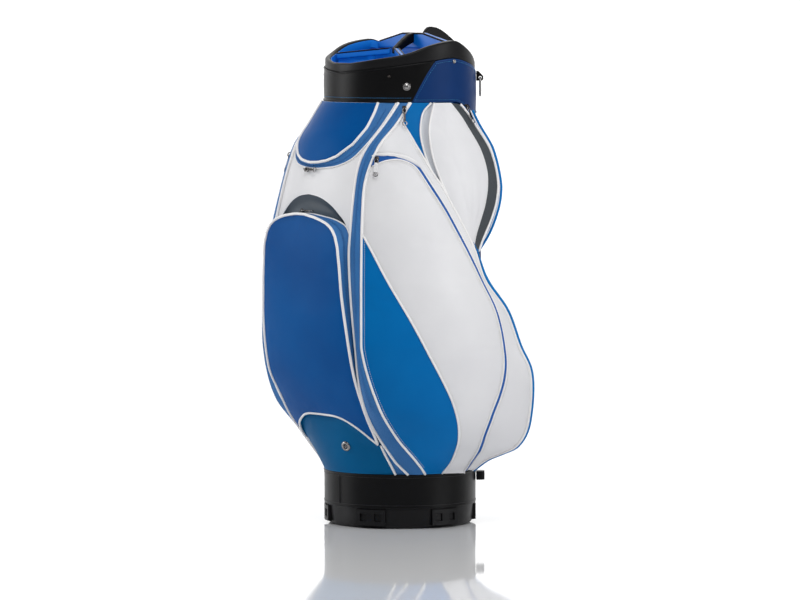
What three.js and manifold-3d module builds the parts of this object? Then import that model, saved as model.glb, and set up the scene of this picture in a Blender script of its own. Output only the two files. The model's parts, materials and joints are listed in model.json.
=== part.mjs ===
// A tour-size golf bag, free-standing on its moulded base.
// Millimetres, +Z up. The origin is the centre of the base's underside. -Y is the front, where the
// ball pocket is, and +Y the spine. Left and right are mirror images unless a comment says otherwise.
// Angles go round the bag from the front: 0 is the front, 90 the right side, 180 the back.
import * as THREE from "three";
import { mergeVertices } from "three/addons/utils/BufferGeometryUtils.js";
import Module from "manifold-3d";

const wasm = await Module();
wasm.setup();

// Driving dimensions
const GAP = 0.3;                  // between pieces that touch
const SIDES = 60;                 // steps in a full turn
const BASE_RADIUS = 129;
const CUP_RADIUS = 132;
const CUP_HEIGHT = 96;
const CUP_FLOOR = 6;
const BAND_RADIUS = 136;
const BAND_BOTTOM = 36;
const BAND_TOP = 97;
const HULL_RADIUS = 126;
const HULL_WALL = 3.5;
const HULL_INNER = HULL_RADIUS - HULL_WALL;
const HULL_TOP = 775.5;
const POCKET_BACK = CUP_RADIUS + GAP;
const COLLAR_RADIUS = 136;
const COLLAR_BOTTOM = 757;
const COLLAR_REAR_BOTTOM = 735;
const RIM_RADIUS = 134;
const RIM_SKIRT_BOTTOM = 776;
const MOUTH = { centreY: -14, halfWidth: 117, halfDepth: 110 };
const CAP_WIDTH = 10;
const SHEET = 2;                  // thickness of a divider sheet
const CROSS_Y = 33;               // the cross divider's middle plane
const HUB_Y = -9;                 // where the front ribs leave the hub
const RIB_ANGLE = 55;
const SHEET_BOTTOM = 15;

// Colours and finishes
const finish = (color, roughness, metalness = 0) => new THREE.MeshStandardMaterial({ color, roughness, metalness });
const materials = {
  whiteLeather: finish(0xdededf, 0.5),
  blueLeather: finish(0x0e4b94, 0.5),
  blackLeather: finish(0x131315, 0.55),
  navyLeather: finish(0x1e3a6e, 0.5),
  blackPlastic: finish(0x111113, 0.45),
  greyMesh: finish(0x464c50, 0.8),
  blueLining: finish(0x146ecd, 0.75),
  steel: finish(0xb4b6b8, 0.25, 1),
  darkSteel: finish(0x3a3b3e, 0.35, 1),
};

const bag = new THREE.Group();

function add(name, geometry, material) {
  const mesh = new THREE.Mesh(geometry, materials[material]);
  mesh.name = name;
  bag.add(mesh);
  return mesh;
}

// ---- Curves -------------------------------------------------------------------------------

const lerp = THREE.MathUtils.lerp;
const rad = THREE.MathUtils.degToRad;

// A smooth function through stations [[place, value], ...] in rising order, flat beyond its ends.
function through(stations) {
  const slope = (i) => {
    const [low, high] = [Math.max(i - 1, 0), Math.min(i + 1, stations.length - 1)];
    return (stations[high][1] - stations[low][1]) / (stations[high][0] - stations[low][0]);
  };
  return (place) => {
    const last = stations.length - 1;
    if (place <= stations[0][0]) return stations[0][1];
    if (place >= stations[last][0]) return stations[last][1];
    const i = stations.findIndex((station) => station[0] > place) - 1;
    const [[x0, y0], [x1, y1]] = [stations[i], stations[i + 1]];
    const span = x1 - x0;
    const t = (place - x0) / span;
    const chord = (y1 - y0) / span;
    const limited = (s) => (chord * s <= 0 ? 0 : Math.sign(s) * Math.min(Math.abs(s), 3 * Math.abs(chord)));
    const [m0, m1] = [limited(slope(i)), limited(slope(i + 1))];
    return y0 + (y1 - y0) * t * t * (3 - 2 * t) + span * t * (1 - t) * (m0 * (1 - t) - m1 * t);
  };
}

// A point by its angle from the front, its distance from the bag's axis and its height.
function at(angle, radius, height) {
  return new THREE.Vector3(radius * Math.sin(rad(angle)), -radius * Math.cos(rad(angle)), height);
}

// Heights of the mouth's saddle-shaped rim and of the collar below it, by angle.
const rimTop = through([[0, 826], [10, 826], [32, 833], [56, 842], [78, 858], [100, 866], [106, 863],
  [123, 846], [143, 827], [180, 827]]);
const collarTop = through([[0, 808], [32, 815], [56, 822], [78, 829], [97, 834], [123, 822], [143, 809], [180, 809]]);
const fold = (angle) => Math.abs(((angle + 540) % 360) - 180);

// Distance from the bag's axis to the mouth's oval edge.
function mouthRadius(angle) {
  const [sin, cos] = [Math.sin(rad(angle)), Math.cos(rad(angle))];
  const a = (sin / MOUTH.halfWidth) ** 2 + (cos / MOUTH.halfDepth) ** 2;
  const b = (MOUTH.centreY * cos) / MOUTH.halfDepth ** 2;
  const c = (MOUTH.centreY / MOUTH.halfDepth) ** 2 - 1;
  return (-b + Math.sqrt(b * b - a * c)) / a;
}

// Side pocket, by height: the seam where its front band starts, the piped front and rear edges of
// its face, and the fullest line between them.
const bandAngle = through([[97, 59], [122, 49.7], [186, 38.3], [252, 34.9], [331, 33.7], [410, 32], [488, 30.7],
  [522, 30.3], [610, 30.5], [651, 31.4], [682, 34.3], [716, 39.4], [757, 47]]);
const bandRadius = through([[97, 136.5], [122, 153], [186, 190], [252, 224], [331, 237], [410, 239], [488, 236],
  [522, 228], [610, 208], [651, 196], [682, 184], [716, 160], [757, 137]]);
const faceAngle = through([[97, 72], [125, 62.5], [165, 51.6], [222, 43.7], [330, 36.8], [440, 36.8], [606, 35.3],
  [681, 41.3], [721, 51], [757, 60]]);
const faceRadius = through([[97, 136.5], [125, 162], [165, 185], [222, 223], [330, 243.6], [440, 243.6], [606, 209.5],
  [681, 185], [721, 156], [757, 137]]);
const fullRadius = through([[97, 137], [125, 172], [165, 208], [222, 227], [330, 236], [440, 236], [504, 226],
  [606, 205], [681, 178], [721, 152], [757, 137]]);
const seamAngle = through([[97, 121], [129, 121], [168, 124], [205, 124], [252, 123], [284, 122], [322, 118],
  [386, 112], [443, 100], [504, 93], [610, 77], [719, 63], [757, 61.2]]);
const seamRadius = through([[97, 138], [118, 167], [129, 193], [141, 219], [168, 236], [205, 244], [252, 248],
  [284, 245], [322, 233], [386, 219], [443, 205], [504, 200], [610, 180], [719, 146], [757, 137]]);

// Upper rear pocket, by height.
const LEAF_BOTTOM = 492;
const leafFrontAngle = through([[610, 78.2], [617, 77.2], [658, 73.2], [694, 72], [721, 73.4], [757, 79]]);
const leafFrontRadius = through([[490, 196], [610, 180], [658, 170], [694, 160], [721, 150], [757, 137]]);
const leafRearAngle = through([[490, 110], [528, 118], [571, 122], [606, 124], [671, 122], [717, 119], [757, 112]]);
const leafRearRadius = through([[490, 160], [528, 174], [571, 185], [606, 187], [671, 174], [717, 150], [757, 137]]);

// Front of the bag, by height: the middle line, and the edge towards the side pocket.
const bibMiddle = through([[500, 210], [590, 203], [646, 188], [690, 170], [720, 154], [757, 137]]);
const archHeight = through([[0, 592], [17, 571], [23, 551], [30, 522]]);
const ballAngle = through([[150, 37.5], [193, 36.2], [229, 34], [281, 32.6], [386, 29.5], [438, 27.8], [490, 26.9],
  [524, 24.9], [544, 20.4], [555, 12.4], [560, 4]]);
const ballEdge = through([[150, 168], [193, 196], [229, 213], [281, 235], [386, 246], [490, 246], [524, 242],
  [544, 235], [555, 228], [560, 222]]);
const ballMiddle = through([[193, 172], [229, 190], [281, 209], [386, 227], [490, 227], [524, 225], [544, 222],
  [560, 218]]);
const ballBottom = through([[0, 194], [20, 186], [39, 151]]);
const lowerMiddle = through([[97, 137], [122, 146], [150, 155], [194, 167]]);
const accessoryAngle = through([[646, 6], [656, 16], [678, 25], [706, 32], [752, 36]]);

// ---- Solids -------------------------------------------------------------------------------

function fromFaces(points, faces) {
  const geometry = new THREE.BufferGeometry();
  geometry.setAttribute("position", new THREE.Float32BufferAttribute(points.flatMap((p) => p.toArray()), 3));
  let volume = 0;
  for (const [a, b, c] of faces) volume += points[a].clone().cross(points[b]).dot(points[c]);
  const outward = volume < 0 ? faces.map(([a, b, c]) => [a, c, b]) : faces;
  geometry.setIndex(outward.flat());
  geometry.computeVertexNormals();
  return geometry;
}

// A closed slab that bends round the bag. place(u, v, side) gives a point: u runs along the slab and v
// up it, both from 0 to 1, and side is 0 on its inner face and 1 on its outer face.
function slab(columns, rows, place) {
  const points = [];
  const index = (i, j, side) => (side * (columns + 1) + i) * (rows + 1) + j;
  for (let side = 0; side < 2; side += 1) {
    for (let i = 0; i <= columns; i += 1) {
      for (let j = 0; j <= rows; j += 1) points.push(place(i / columns, j / rows, side));
    }
  }
  const faces = [];
  const quad = (a, b, c, d) => faces.push([a, b, c], [a, c, d]);
  for (let i = 0; i < columns; i += 1) {
    for (let j = 0; j < rows; j += 1) {
      quad(index(i, j, 1), index(i + 1, j, 1), index(i + 1, j + 1, 1), index(i, j + 1, 1));
      quad(index(i, j, 0), index(i, j + 1, 0), index(i + 1, j + 1, 0), index(i + 1, j, 0));
    }
    quad(index(i, 0, 0), index(i + 1, 0, 0), index(i + 1, 0, 1), index(i, 0, 1));
    quad(index(i, rows, 1), index(i + 1, rows, 1), index(i + 1, rows, 0), index(i, rows, 0));
  }
  for (let j = 0; j < rows; j += 1) {
    quad(index(0, j, 1), index(0, j + 1, 1), index(0, j + 1, 0), index(0, j, 0));
    quad(index(columns, j, 0), index(columns, j + 1, 0), index(columns, j + 1, 1), index(columns, j, 1));
  }
  return fromFaces(points, faces);
}

// A closed ring: section(angle) gives its outline at each angle as [radius, height] pairs.
function ring(section) {
  const points = [];
  const faces = [];
  const outlines = Array.from({ length: SIDES }, (_, i) => section((360 * i) / SIDES));
  const count = outlines[0].length;
  outlines.forEach((outline, i) => {
    for (const [radius, height] of outline) points.push(at((360 * i) / SIDES, radius, height));
    for (let j = 0; j < count; j += 1) {
      const [a, b] = [i * count + j, i * count + ((j + 1) % count)];
      const [c, d] = [a, b].map((corner) => (corner + count) % (SIDES * count));
      faces.push([a, c, d], [a, d, b]);
    }
  });
  return fromFaces(points, faces);
}

function lathe(profile, steps = SIDES) {
  const geometry = new THREE.LatheGeometry(profile.map(([x, y]) => new THREE.Vector2(x, y)), steps);
  return geometry.rotateX(Math.PI / 2);
}

// An outline of [across, up] pairs in the plane through the bag's axis or square to it.
function plate(outline, thickness) {
  const shape = new THREE.Shape(outline.map(([x, y]) => new THREE.Vector2(x, y)));
  const geometry = new THREE.ExtrudeGeometry(shape, { depth: thickness, bevelEnabled: false });
  return geometry.translate(0, 0, -thickness / 2);
}

function toSolid(geometry) {
  const bare = geometry.clone();
  for (const name of ["normal", "uv"]) bare.deleteAttribute(name);
  const merged = mergeVertices(bare, 1e-4);
  return new wasm.Manifold(new wasm.Mesh({
    numProp: 3,
    vertProperties: new Float32Array(merged.attributes.position.array),
    triVerts: new Uint32Array(merged.index.array),
  }));
}

function toGeometry(solid) {
  const mesh = solid.getMesh();
  const geometry = new THREE.BufferGeometry();
  geometry.setAttribute("position", new THREE.Float32BufferAttribute(mesh.vertProperties, 3));
  geometry.setIndex([...mesh.triVerts]);
  geometry.computeVertexNormals();
  return geometry;
}

const mirrored = [["right", 1], ["left", -1]];

// ---- Base ---------------------------------------------------------------------------------

// The cup's foot carries six moulded lugs with two square pockets each.
function baseCup() {
  const inner = HULL_RADIUS + GAP;
  let cup = toSolid(lathe([[0, 0], [BASE_RADIUS - 4, 0], [BASE_RADIUS, 4], [CUP_RADIUS, BAND_BOTTOM - 2],
    [CUP_RADIUS, CUP_HEIGHT], [inner, CUP_HEIGHT], [inner, CUP_FLOOR], [0, CUP_FLOOR]]));
  for (const middle of [30, 90, 150, 210, 270, 330]) {
    const lug = slab(4, 1, (u, v, side) => at(middle - 12 + 24 * u, side ? 136.5 : 127.5, lerp(5, 34, v)));
    cup = cup.add(toSolid(lug));
    for (const offset of [-6, 6]) {
      const recess = slab(1, 1, (u, v, side) => at(middle + offset - 2.5 + 5 * u, side ? 140 : 134, lerp(13, 26, v)));
      cup = cup.subtract(toSolid(recess));
    }
  }
  return toGeometry(cup);
}

add("base_cup", baseCup(), "blackPlastic");
add("base_band", lathe([[CUP_RADIUS + GAP, BAND_BOTTOM], [BAND_RADIUS - 1.5, BAND_BOTTOM], [BAND_RADIUS, BAND_BOTTOM + 3],
  [BAND_RADIUS, BAND_TOP - 3], [BAND_RADIUS - 1.5, BAND_TOP], [CUP_RADIUS + GAP, BAND_TOP],
  [CUP_RADIUS + GAP, BAND_BOTTOM]]), "blackLeather");
add("base_pad", lathe([[0, CUP_FLOOR + GAP], [HULL_INNER - 1, CUP_FLOOR + GAP], [HULL_INNER - 1, 14], [0, 14]]),
"blackLeather");

// ---- Hull: the padded tube that holds the clubs, and the two stays that keep it upright --------

for (const [name, middle] of [["front", 0], ["right", 90], ["back", 180], ["left", 270]]) {
  const half = 45 - 0.2;
  const radius = [HULL_INNER, HULL_RADIUS];
  add(`hull_${name}`, slab(15, 1, (u, v, side) =>
    at(middle + lerp(-half, half, u), radius[side], lerp(CUP_FLOOR + GAP, HULL_TOP, v))), "blueLining");
}

for (const [name, sign] of mirrored) {
  add(`stay_${name}`, slab(2, 1, (u, v, side) =>
    at(sign * lerp(86, 94, u), side ? 131.2 : 128.6, lerp(CUP_HEIGHT + GAP, COLLAR_BOTTOM - 5, v))), "steel");
}

// ---- Collar, rim and dividers -----------------------------------------------------------------

const collarSeam = through([[0, 61.5], [0.65, 72], [1, 80]]);
const collarRearBottom = through([[62, COLLAR_BOTTOM], [100, COLLAR_BOTTOM], [125, COLLAR_REAR_BOTTOM],
  [180, COLLAR_REAR_BOTTOM]]);
const collarRadius = [CUP_RADIUS + GAP, COLLAR_RADIUS];

add("collar_front", slab(24, 3, (u, v, side) => {
  const angle = lerp(-1, 1, u) * collarSeam(v);
  return at(angle, collarRadius[side], lerp(COLLAR_BOTTOM, collarTop(Math.abs(angle)), v));
}), "blackLeather");

add("collar_rear", slab(32, 3, (u, v, side) => {
  const angle = lerp(collarSeam(v) + 0.2, 359.8 - collarSeam(v), u);
  return at(angle, collarRadius[side], lerp(collarRearBottom(fold(angle)), collarTop(fold(angle)), v));
}), "navyLeather");

add("top_rim", ring((angle) => {
  const [top, lip, mouth] = [rimTop(fold(angle)), collarTop(fold(angle)) + 0.8, mouthRadius(angle)];
  return [[RIM_RADIUS, lip], [RIM_RADIUS, top - 3], [RIM_RADIUS - 2.5, top], [mouth + 2.5, top], [mouth, top - 3],
    [mouth, top - 15], [HULL_RADIUS - 2.5, top - 26], [HULL_RADIUS - 2.5, RIM_SKIRT_BOTTOM],
    [CUP_RADIUS - 1, RIM_SKIRT_BOTTOM], [CUP_RADIUS - 1, lip]];
}), "blackPlastic");

const mouthHalfWidth = (y) => MOUTH.halfWidth * Math.sqrt(1 - ((y - MOUTH.centreY) / MOUTH.halfDepth) ** 2);
const mouthBack = MOUTH.centreY + MOUTH.halfDepth;
const hullHalfWidth = (y) => Math.sqrt((HULL_INNER - 1) ** 2 - y * y);
const CROSS_TOP = [863, 878];
const CAP_DEPTH = 13;
const FRONT_RIB_TOP = [851, 841];
const FRONT_RIB_DEPTH = 11;

// Plates in the plane of X and Z, at the cross divider.
function acrossBag(outline, thickness) {
  return plate(outline, thickness).rotateX(Math.PI / 2).translate(0, CROSS_Y, 0);
}

// Plates in the plane of Y and Z, on the bag's middle plane.
function alongBag(outline, thickness) {
  return plate(outline, thickness).rotateX(Math.PI / 2).rotateZ(Math.PI / 2);
}

const crossHalf = mouthHalfWidth(CROSS_Y + CAP_WIDTH / 2) - 0.6;
add("divider_cap_cross", acrossBag([[-crossHalf, CROSS_TOP[0] - CAP_DEPTH], [crossHalf, CROSS_TOP[0] - CAP_DEPTH],
  [crossHalf, CROSS_TOP[0]], [30, CROSS_TOP[1]], [-30, CROSS_TOP[1]], [-crossHalf, CROSS_TOP[0]]], CAP_WIDTH),
"blackPlastic");

const crossFront = CROSS_Y - CAP_WIDTH / 2 - GAP;
const crossBack = CROSS_Y + CAP_WIDTH / 2 + GAP;
add("divider_hub", alongBag([[HUB_Y - 5, 840], [crossFront, 862], [crossFront, 878], [18, 876], [4, 866],
  [HUB_Y - 5, 851]], CAP_WIDTH + 2), "blackPlastic");

// The rear rib rises into a padded grip and comes down on the rim's rear shoulder.
const ribBottom = 838;
const shoulder = rimTop(180) + GAP;
add("divider_rear_grip", alongBag([[crossBack, ribBottom], [mouthBack - 0.6, ribBottom], [mouthBack - 0.6, shoulder],
  [129, shoulder], [129, 838], [126, 852], [119, 863.5], [110, 870], [101, 876.5], [90, 883], [80, 887], [68, 889],
  [62, 887.5], [57, 883], [52, 876], [crossBack, 874]], CAP_WIDTH), "blackPlastic");

// A front rib runs from the hub to the rim at RIB_ANGLE.
const ribEnd = at(RIB_ANGLE, mouthRadius(RIB_ANGLE) - 1.2, 0);
const ribLength = Math.hypot(ribEnd.x, ribEnd.y - HUB_Y);
const ribTurn = Math.atan2(ribEnd.y - HUB_Y, ribEnd.x);
for (const [name, sign] of mirrored) {
  const place = (geometry) => geometry.rotateX(Math.PI / 2).rotateZ(sign > 0 ? ribTurn : Math.PI - ribTurn)
    .translate(0, HUB_Y, 0);
  const start = 11;
  add(`divider_cap_${name}`, place(plate([[start, FRONT_RIB_TOP[0] - FRONT_RIB_DEPTH],
    [ribLength - 3, FRONT_RIB_TOP[1] - FRONT_RIB_DEPTH], [ribLength - 3, FRONT_RIB_TOP[1]],
    [start, FRONT_RIB_TOP[0]]], CAP_WIDTH - 2)), "blackPlastic");
  const reach = ribLength - 4;
  add(`divider_sheet_${name}`, place(plate([[3, SHEET_BOTTOM], [reach, SHEET_BOTTOM],
    [reach, FRONT_RIB_TOP[1] - FRONT_RIB_DEPTH - GAP], [start, FRONT_RIB_TOP[0] - FRONT_RIB_DEPTH - GAP], [3, ribBottom]], SHEET)), "blueLining");
}

const crossSheetTop = CROSS_TOP[0] - CAP_DEPTH - GAP;
const crossReach = hullHalfWidth(CROSS_Y + SHEET / 2);
add("divider_sheet_cross", acrossBag([[-crossReach, SHEET_BOTTOM], [crossReach, SHEET_BOTTOM], [crossReach, 770],
  [crossHalf - 1, 800], [crossHalf - 1, crossSheetTop], [1 - crossHalf, crossSheetTop], [1 - crossHalf, 800],
  [-crossReach, 770]], SHEET), "blueLining");
add("divider_sheet_spine", alongBag([[HUB_Y + 1, SHEET_BOTTOM], [CROSS_Y - SHEET / 2 - GAP, SHEET_BOTTOM],
  [CROSS_Y - SHEET / 2 - GAP, 839.5], [HUB_Y + 1, 839.5]], SHEET), "blueLining");
add("divider_sheet_rear", alongBag([[CROSS_Y + SHEET / 2 + GAP, SHEET_BOTTOM], [HULL_INNER - 1, SHEET_BOTTOM],
  [HULL_INNER - 1, 770], [mouthBack - 1, 800], [mouthBack - 1, ribBottom - GAP], [CROSS_Y + SHEET / 2 + GAP, ribBottom - GAP]], SHEET),
"blueLining");

// ---- Pockets ------------------------------------------------------------------------------------

// A pocket's outer face between its edges: full in the middle and eased at the sides.
const crown = (u) => 1 - (2 * u - 1) ** 2;

function bibRadius(angle, height) {
  const edge = bandRadius(height) - 2;
  return lerp(bibMiddle(height), edge, Math.min(1, (angle / bandAngle(height)) ** 2));
}

add("front_bib", slab(16, 9, (u, v, side) => {
  const share = lerp(-1, 1, u);
  const height = lerp(archHeight(Math.abs(share) * 30), COLLAR_BOTTOM - GAP, v);
  const angle = share * (bandAngle(height) - 0.6);
  return at(angle, side ? bibRadius(angle, height) : POCKET_BACK, height);
}), "whiteLeather");

const ACCESSORY_DEPTH = 13;
add("accessory_pocket", slab(12, 8, (u, v, side) => {
  const height = lerp(646, 751, v);
  const angle = lerp(-1, 1, u) * accessoryAngle(height);
  const proud = side ? ACCESSORY_DEPTH * (0.55 + 0.45 * crown(u)) * (0.6 + 0.4 * crown(v)) : 1.2;
  return at(angle, bibRadius(angle, height) + proud, height);
}), "blueLeather");

add("ball_pocket", slab(14, 16, (u, v, side) => {
  const share = lerp(-1, 1, u);
  const height = lerp(ballBottom(Math.abs(share) * 37), 560, v);
  const angle = share * ballAngle(height);
  const face = lerp(ballMiddle(height), ballEdge(height), share * share);
  return at(angle, side ? face : POCKET_BACK, height);
}), "blueLeather");

function lowerRadius(angle, height) {
  const edge = bandRadius(height) - 3;
  return lerp(lowerMiddle(height), edge, Math.min(1, (angle / bandAngle(height)) ** 2));
}

add("lower_front_panel", slab(16, 4, (u, v, side) => {
  const share = lerp(-1, 1, u);
  const height = lerp(BAND_TOP + GAP, ballBottom(Math.abs(share) * 42) - 2.5, v);
  const angle = share * (bandAngle(height) - 0.8);
  return at(angle, side ? lowerRadius(angle, height) : POCKET_BACK, height);
}), "blueLeather");

// The vent eyelet is on the right only.
const VENT = { angle: 15.3, height: 147, radius: 9.5, hole: 4.5 };
const eyelet = add("vent_eyelet", lathe([[VENT.hole, 0], [VENT.radius, 0], [VENT.radius, 1.2], [6.5, 2.6],
  [VENT.hole, 1.4], [VENT.hole, 0]], 20), "steel");
eyelet.position.copy(at(VENT.angle, lowerRadius(VENT.angle, VENT.height) + 1.4, VENT.height));
eyelet.rotation.set(Math.PI / 2 + rad(17), 0, rad(VENT.angle), "ZYX");

// The blended radius along a side pocket's section: band seam, front edge, fullest line, rear edge.
function sideSection(height) {
  const [band, face, seam] = [bandAngle(height), faceAngle(height), seamAngle(height)];
  const middle = lerp(face, seam, 0.5);
  const angles = through([[0, band + 0.2], [0.15, Math.min(face, seam - 0.8)], [0.55, middle], [1, seam]]);
  const radii = through([[0, bandRadius(height)], [0.15, faceRadius(height)], [0.55, fullRadius(height)],
    [1, seamRadius(height)]]);
  return { angles, radii };
}

for (const [name, sign] of mirrored) {
  add(`side_pocket_${name}`, slab(14, 22, (u, v, side) => {
    const height = lerp(BAND_TOP + GAP, COLLAR_BOTTOM - GAP, v);
    const { angles, radii } = sideSection(height);
    return at(sign * angles(u), side ? radii(u) : POCKET_BACK, height);
  }), "whiteLeather");

  add(`upper_panel_${name}`, slab(3, 6, (u, v, side) => {
    const height = lerp(665, COLLAR_BOTTOM - GAP, v);
    const angle = lerp(seamAngle(height) + 0.6, leafFrontAngle(height) - 0.6, u);
    const outer = lerp(seamRadius(height), leafFrontRadius(height), u) - 1;
    return at(sign * angle, side ? outer : POCKET_BACK, height);
  }), "blueLeather");

  add(`leaf_pocket_${name}`, slab(8, 10, (u, v, side) => {
    const collarEdge = collarRearBottom(lerp(79, 116, u)) - 1;
    const height = lerp(LEAF_BOTTOM, collarEdge, v);
    const front = Math.max(leafFrontAngle(height), seamAngle(height) + 1);
    const angle = lerp(front, leafRearAngle(height), u);
    const outer = lerp(leafFrontRadius(height), leafRearRadius(height), u) + 7 * crown(u) * crown(v);
    return at(sign * angle, side ? outer : POCKET_BACK, height);
  }), "whiteLeather");
}

const padRadius = through([[97, 136], [140, 145], [690, 145], [730, 137]]);
add("back_pad", slab(16, 6, (u, v, side) => {
  const height = lerp(BAND_TOP + GAP, COLLAR_REAR_BOTTOM - GAP, v);
  return at(lerp(127, 233, u), side ? padRadius(height) : POCKET_BACK, height);
}), "navyLeather");

// ---- Metalwork ----------------------------------------------------------------------------------

const rivetProfile = (radius) => [[0, 0], [radius, 0], [radius, 0.8], [radius * 0.75, 1.8], [0, 2.2]];
const rivets = [["rivet_front", 45, 803, 3.2, "darkSteel"], ["rivet_seam", 58, 785, 7, "steel"],
  ["rivet_rear", 97.7, 829, 3.5, "steel"]];
for (const [side, sign] of mirrored) {
  for (const [name, angle, height, radius, material] of rivets) {
    const rivet = add(`${name}_${side}`, lathe(rivetProfile(radius), 14), material);
    rivet.position.copy(at(sign * angle, COLLAR_RADIUS + GAP, height));
    rivet.rotation.set(Math.PI / 2, 0, rad(sign * angle), "ZYX");
  }
}

// A zip slider with its bridge, and the pull whose end bar turns under the bridge. Both are drawn with
// the pull along +X and the pocket's surface at z = 0, then set on the pocket.
const SLIDER = { length: 12, width: 8, body: 3, bridgeWidth: 3, bridgeTop: 7.4, barHeight: 4.6 };
const PULL = { length: 32, width: 9, thickness: 1.6, window: 4.6 };

function sliderGeometry() {
  const body = plate([[-6, 0.8], [6, 0.8], [6, SLIDER.body], [-6, SLIDER.body]], SLIDER.width);
  const outline = [[-4, 2], [4, 2], [4, 6], [2.6, SLIDER.bridgeTop], [-2.6, SLIDER.bridgeTop], [-4, 6]];
  const bridge = plate(outline, SLIDER.bridgeWidth);
  const tunnel = plate([[-2, SLIDER.body], [2, SLIDER.body], [2, 6.2], [-2, 6.2]], 2 * SLIDER.width);
  const solid = toSolid(body).add(toSolid(bridge)).subtract(toSolid(tunnel));
  return toGeometry(solid).rotateX(Math.PI / 2);
}

function pullGeometry() {
  const [half, eye] = [PULL.width / 2, PULL.window / 2];
  const shape = new THREE.Shape();
  shape.moveTo(-0.8, -half + 1.5).lineTo(-0.8, half - 1.5).lineTo(PULL.length - half, half);
  shape.absarc(PULL.length - half, 0, half, Math.PI / 2, -Math.PI / 2, true);
  shape.lineTo(-0.8, -half + 1.5);
  const window = new THREE.Path([[0.8, -eye], [7, -eye], [7, eye], [0.8, eye]].map(([x, y]) => new THREE.Vector2(x, y)));
  shape.holes.push(window);
  const geometry = new THREE.ExtrudeGeometry(shape, { depth: PULL.thickness, bevelEnabled: false, curveSegments: 6 });
  return geometry.translate(0, 0, SLIDER.barHeight - PULL.thickness / 2);
}

function zip(name, point, towards, normal) {
  const z = normal.clone().normalize();
  const x = towards.clone().addScaledVector(z, -towards.dot(z)).normalize();
  const turn = new THREE.Matrix4().makeBasis(x, z.clone().cross(x), z).setPosition(point);
  add(`${name}_zip_slider`, sliderGeometry().applyMatrix4(turn), "darkSteel");
  add(`${name}_zip_pull`, pullGeometry().applyMatrix4(turn), "steel");
}

// A zip on a sloping surface: surface(angle, height) is its radius, and the pull hangs down it.
function hangingZip(name, surface, angle, height, run) {
  const [top, foot] = [height, height - run].map((level) => at(angle, surface(angle, level), level));
  const down = foot.clone().sub(top).normalize();
  const aside = new THREE.Vector3(Math.cos(rad(angle)), Math.sin(rad(angle)), 0);
  const normal = down.clone().cross(aside);
  zip(name, top.addScaledVector(normal, 1), down, normal);
}

function sideRadius(angle, height) {
  const { angles, radii } = sideSection(height);
  let [low, high] = [0, 1];
  for (let step = 0; step < 20; step += 1) {
    const middle = (low + high) / 2;
    if (angles(middle) < Math.abs(angle)) low = middle;
    else high = middle;
  }
  return radii(low);
}

const UP = new THREE.Vector3(0, 0, 1);
const RIGHT = new THREE.Vector3(1, 0, 0);
zip("ball_pocket", new THREE.Vector3(-10, -210, 561.2), RIGHT, UP);
zip("accessory_pocket", new THREE.Vector3(-18, -bibMiddle(637) - 1.2, 637), RIGHT, new THREE.Vector3(0, -1, 0.27));
for (const [name, sign] of mirrored) {
  hangingZip(`side_pocket_${name}`, sideRadius, sign * 41, 658, 40);
  hangingZip(`upper_${name}`, sideRadius, sign * 56, 745, 45);
  hangingZip(`leaf_pocket_${name}`, (angle, height) => leafRearRadius(height), sign * 109, 746, 60);
}

// The strap's upper ring hangs in a folded tab on the collar, and its lower tab is on the base band.
// Both are right of the spine only.
const STRAP_ANGLE = 143;
const RING = { wire: 3.6, width: 30, drop: 34, distance: 143.5, height: 798 };

function strapRing() {
  const [half, wire] = [RING.width / 2, RING.wire];
  const outline = (inset) => {
    const path = new THREE.Path();
    const reach = half - inset;
    path.moveTo(-reach, wire / 2 - inset).lineTo(-reach, -RING.drop + half);
    path.absarc(0, -RING.drop + half, reach, Math.PI, 2 * Math.PI, false);
    path.lineTo(reach, wire / 2 - inset);
    path.closePath();
    return path;
  };
  const shape = new THREE.Shape(outline(0).getPoints(16));
  shape.holes.push(new THREE.Path(outline(wire).getPoints(16)));
  return new THREE.ExtrudeGeometry(shape, { depth: wire, bevelEnabled: false }).translate(0, 0, -wire / 2);
}

function strapTab() {
  const outline = [[-1, -5.5], [9, -5.5], [11.5, -3], [11.5, 3], [9, 5.5], [3, 12], [-1, 12]];
  const shape = new THREE.Shape(outline.map(([x, y]) => new THREE.Vector2(x, y)));
  shape.holes.push(new THREE.Path().absarc(6, 0, 3, 0, 2 * Math.PI, true));
  return new THREE.ExtrudeGeometry(shape, { depth: 18, bevelEnabled: false, curveSegments: 6 }).translate(0, 0, -9);
}

const strap = new THREE.Group();
strap.rotation.z = rad(STRAP_ANGLE);
bag.add(strap);
function addToStrap(name, geometry, material) {
  strap.add(add(name, geometry, material));
}
addToStrap("strap_ring", strapRing().rotateX(Math.PI / 2).translate(0, -RING.distance, RING.height), "steel");
addToStrap("strap_ring_tab", strapTab().rotateX(Math.PI / 2).rotateZ(-Math.PI / 2)
  .translate(0, -RING.distance + 6, RING.height), "blackLeather");
addToStrap("strap_tab_lower", plate([[-12, 0], [12, 0], [12, 10], [8, 15], [-8, 15], [-12, 10]], 16)
  .rotateX(Math.PI).translate(0, -BAND_RADIUS - 1, 84), "blackLeather");

export default bag;
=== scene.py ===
"""A tour golf bag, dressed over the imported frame: sewn panels, piping, zips, collar, base and metalwork.

Lengths in the tables are in millimetres and angles in degrees, measured round the bag from its front (-Y)
towards +X. Objects are in metres. The left side repeats the right side in mirror image.
"""
import json
import math

import bmesh
import bpy
from mathutils import Matrix, Vector, noise

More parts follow.
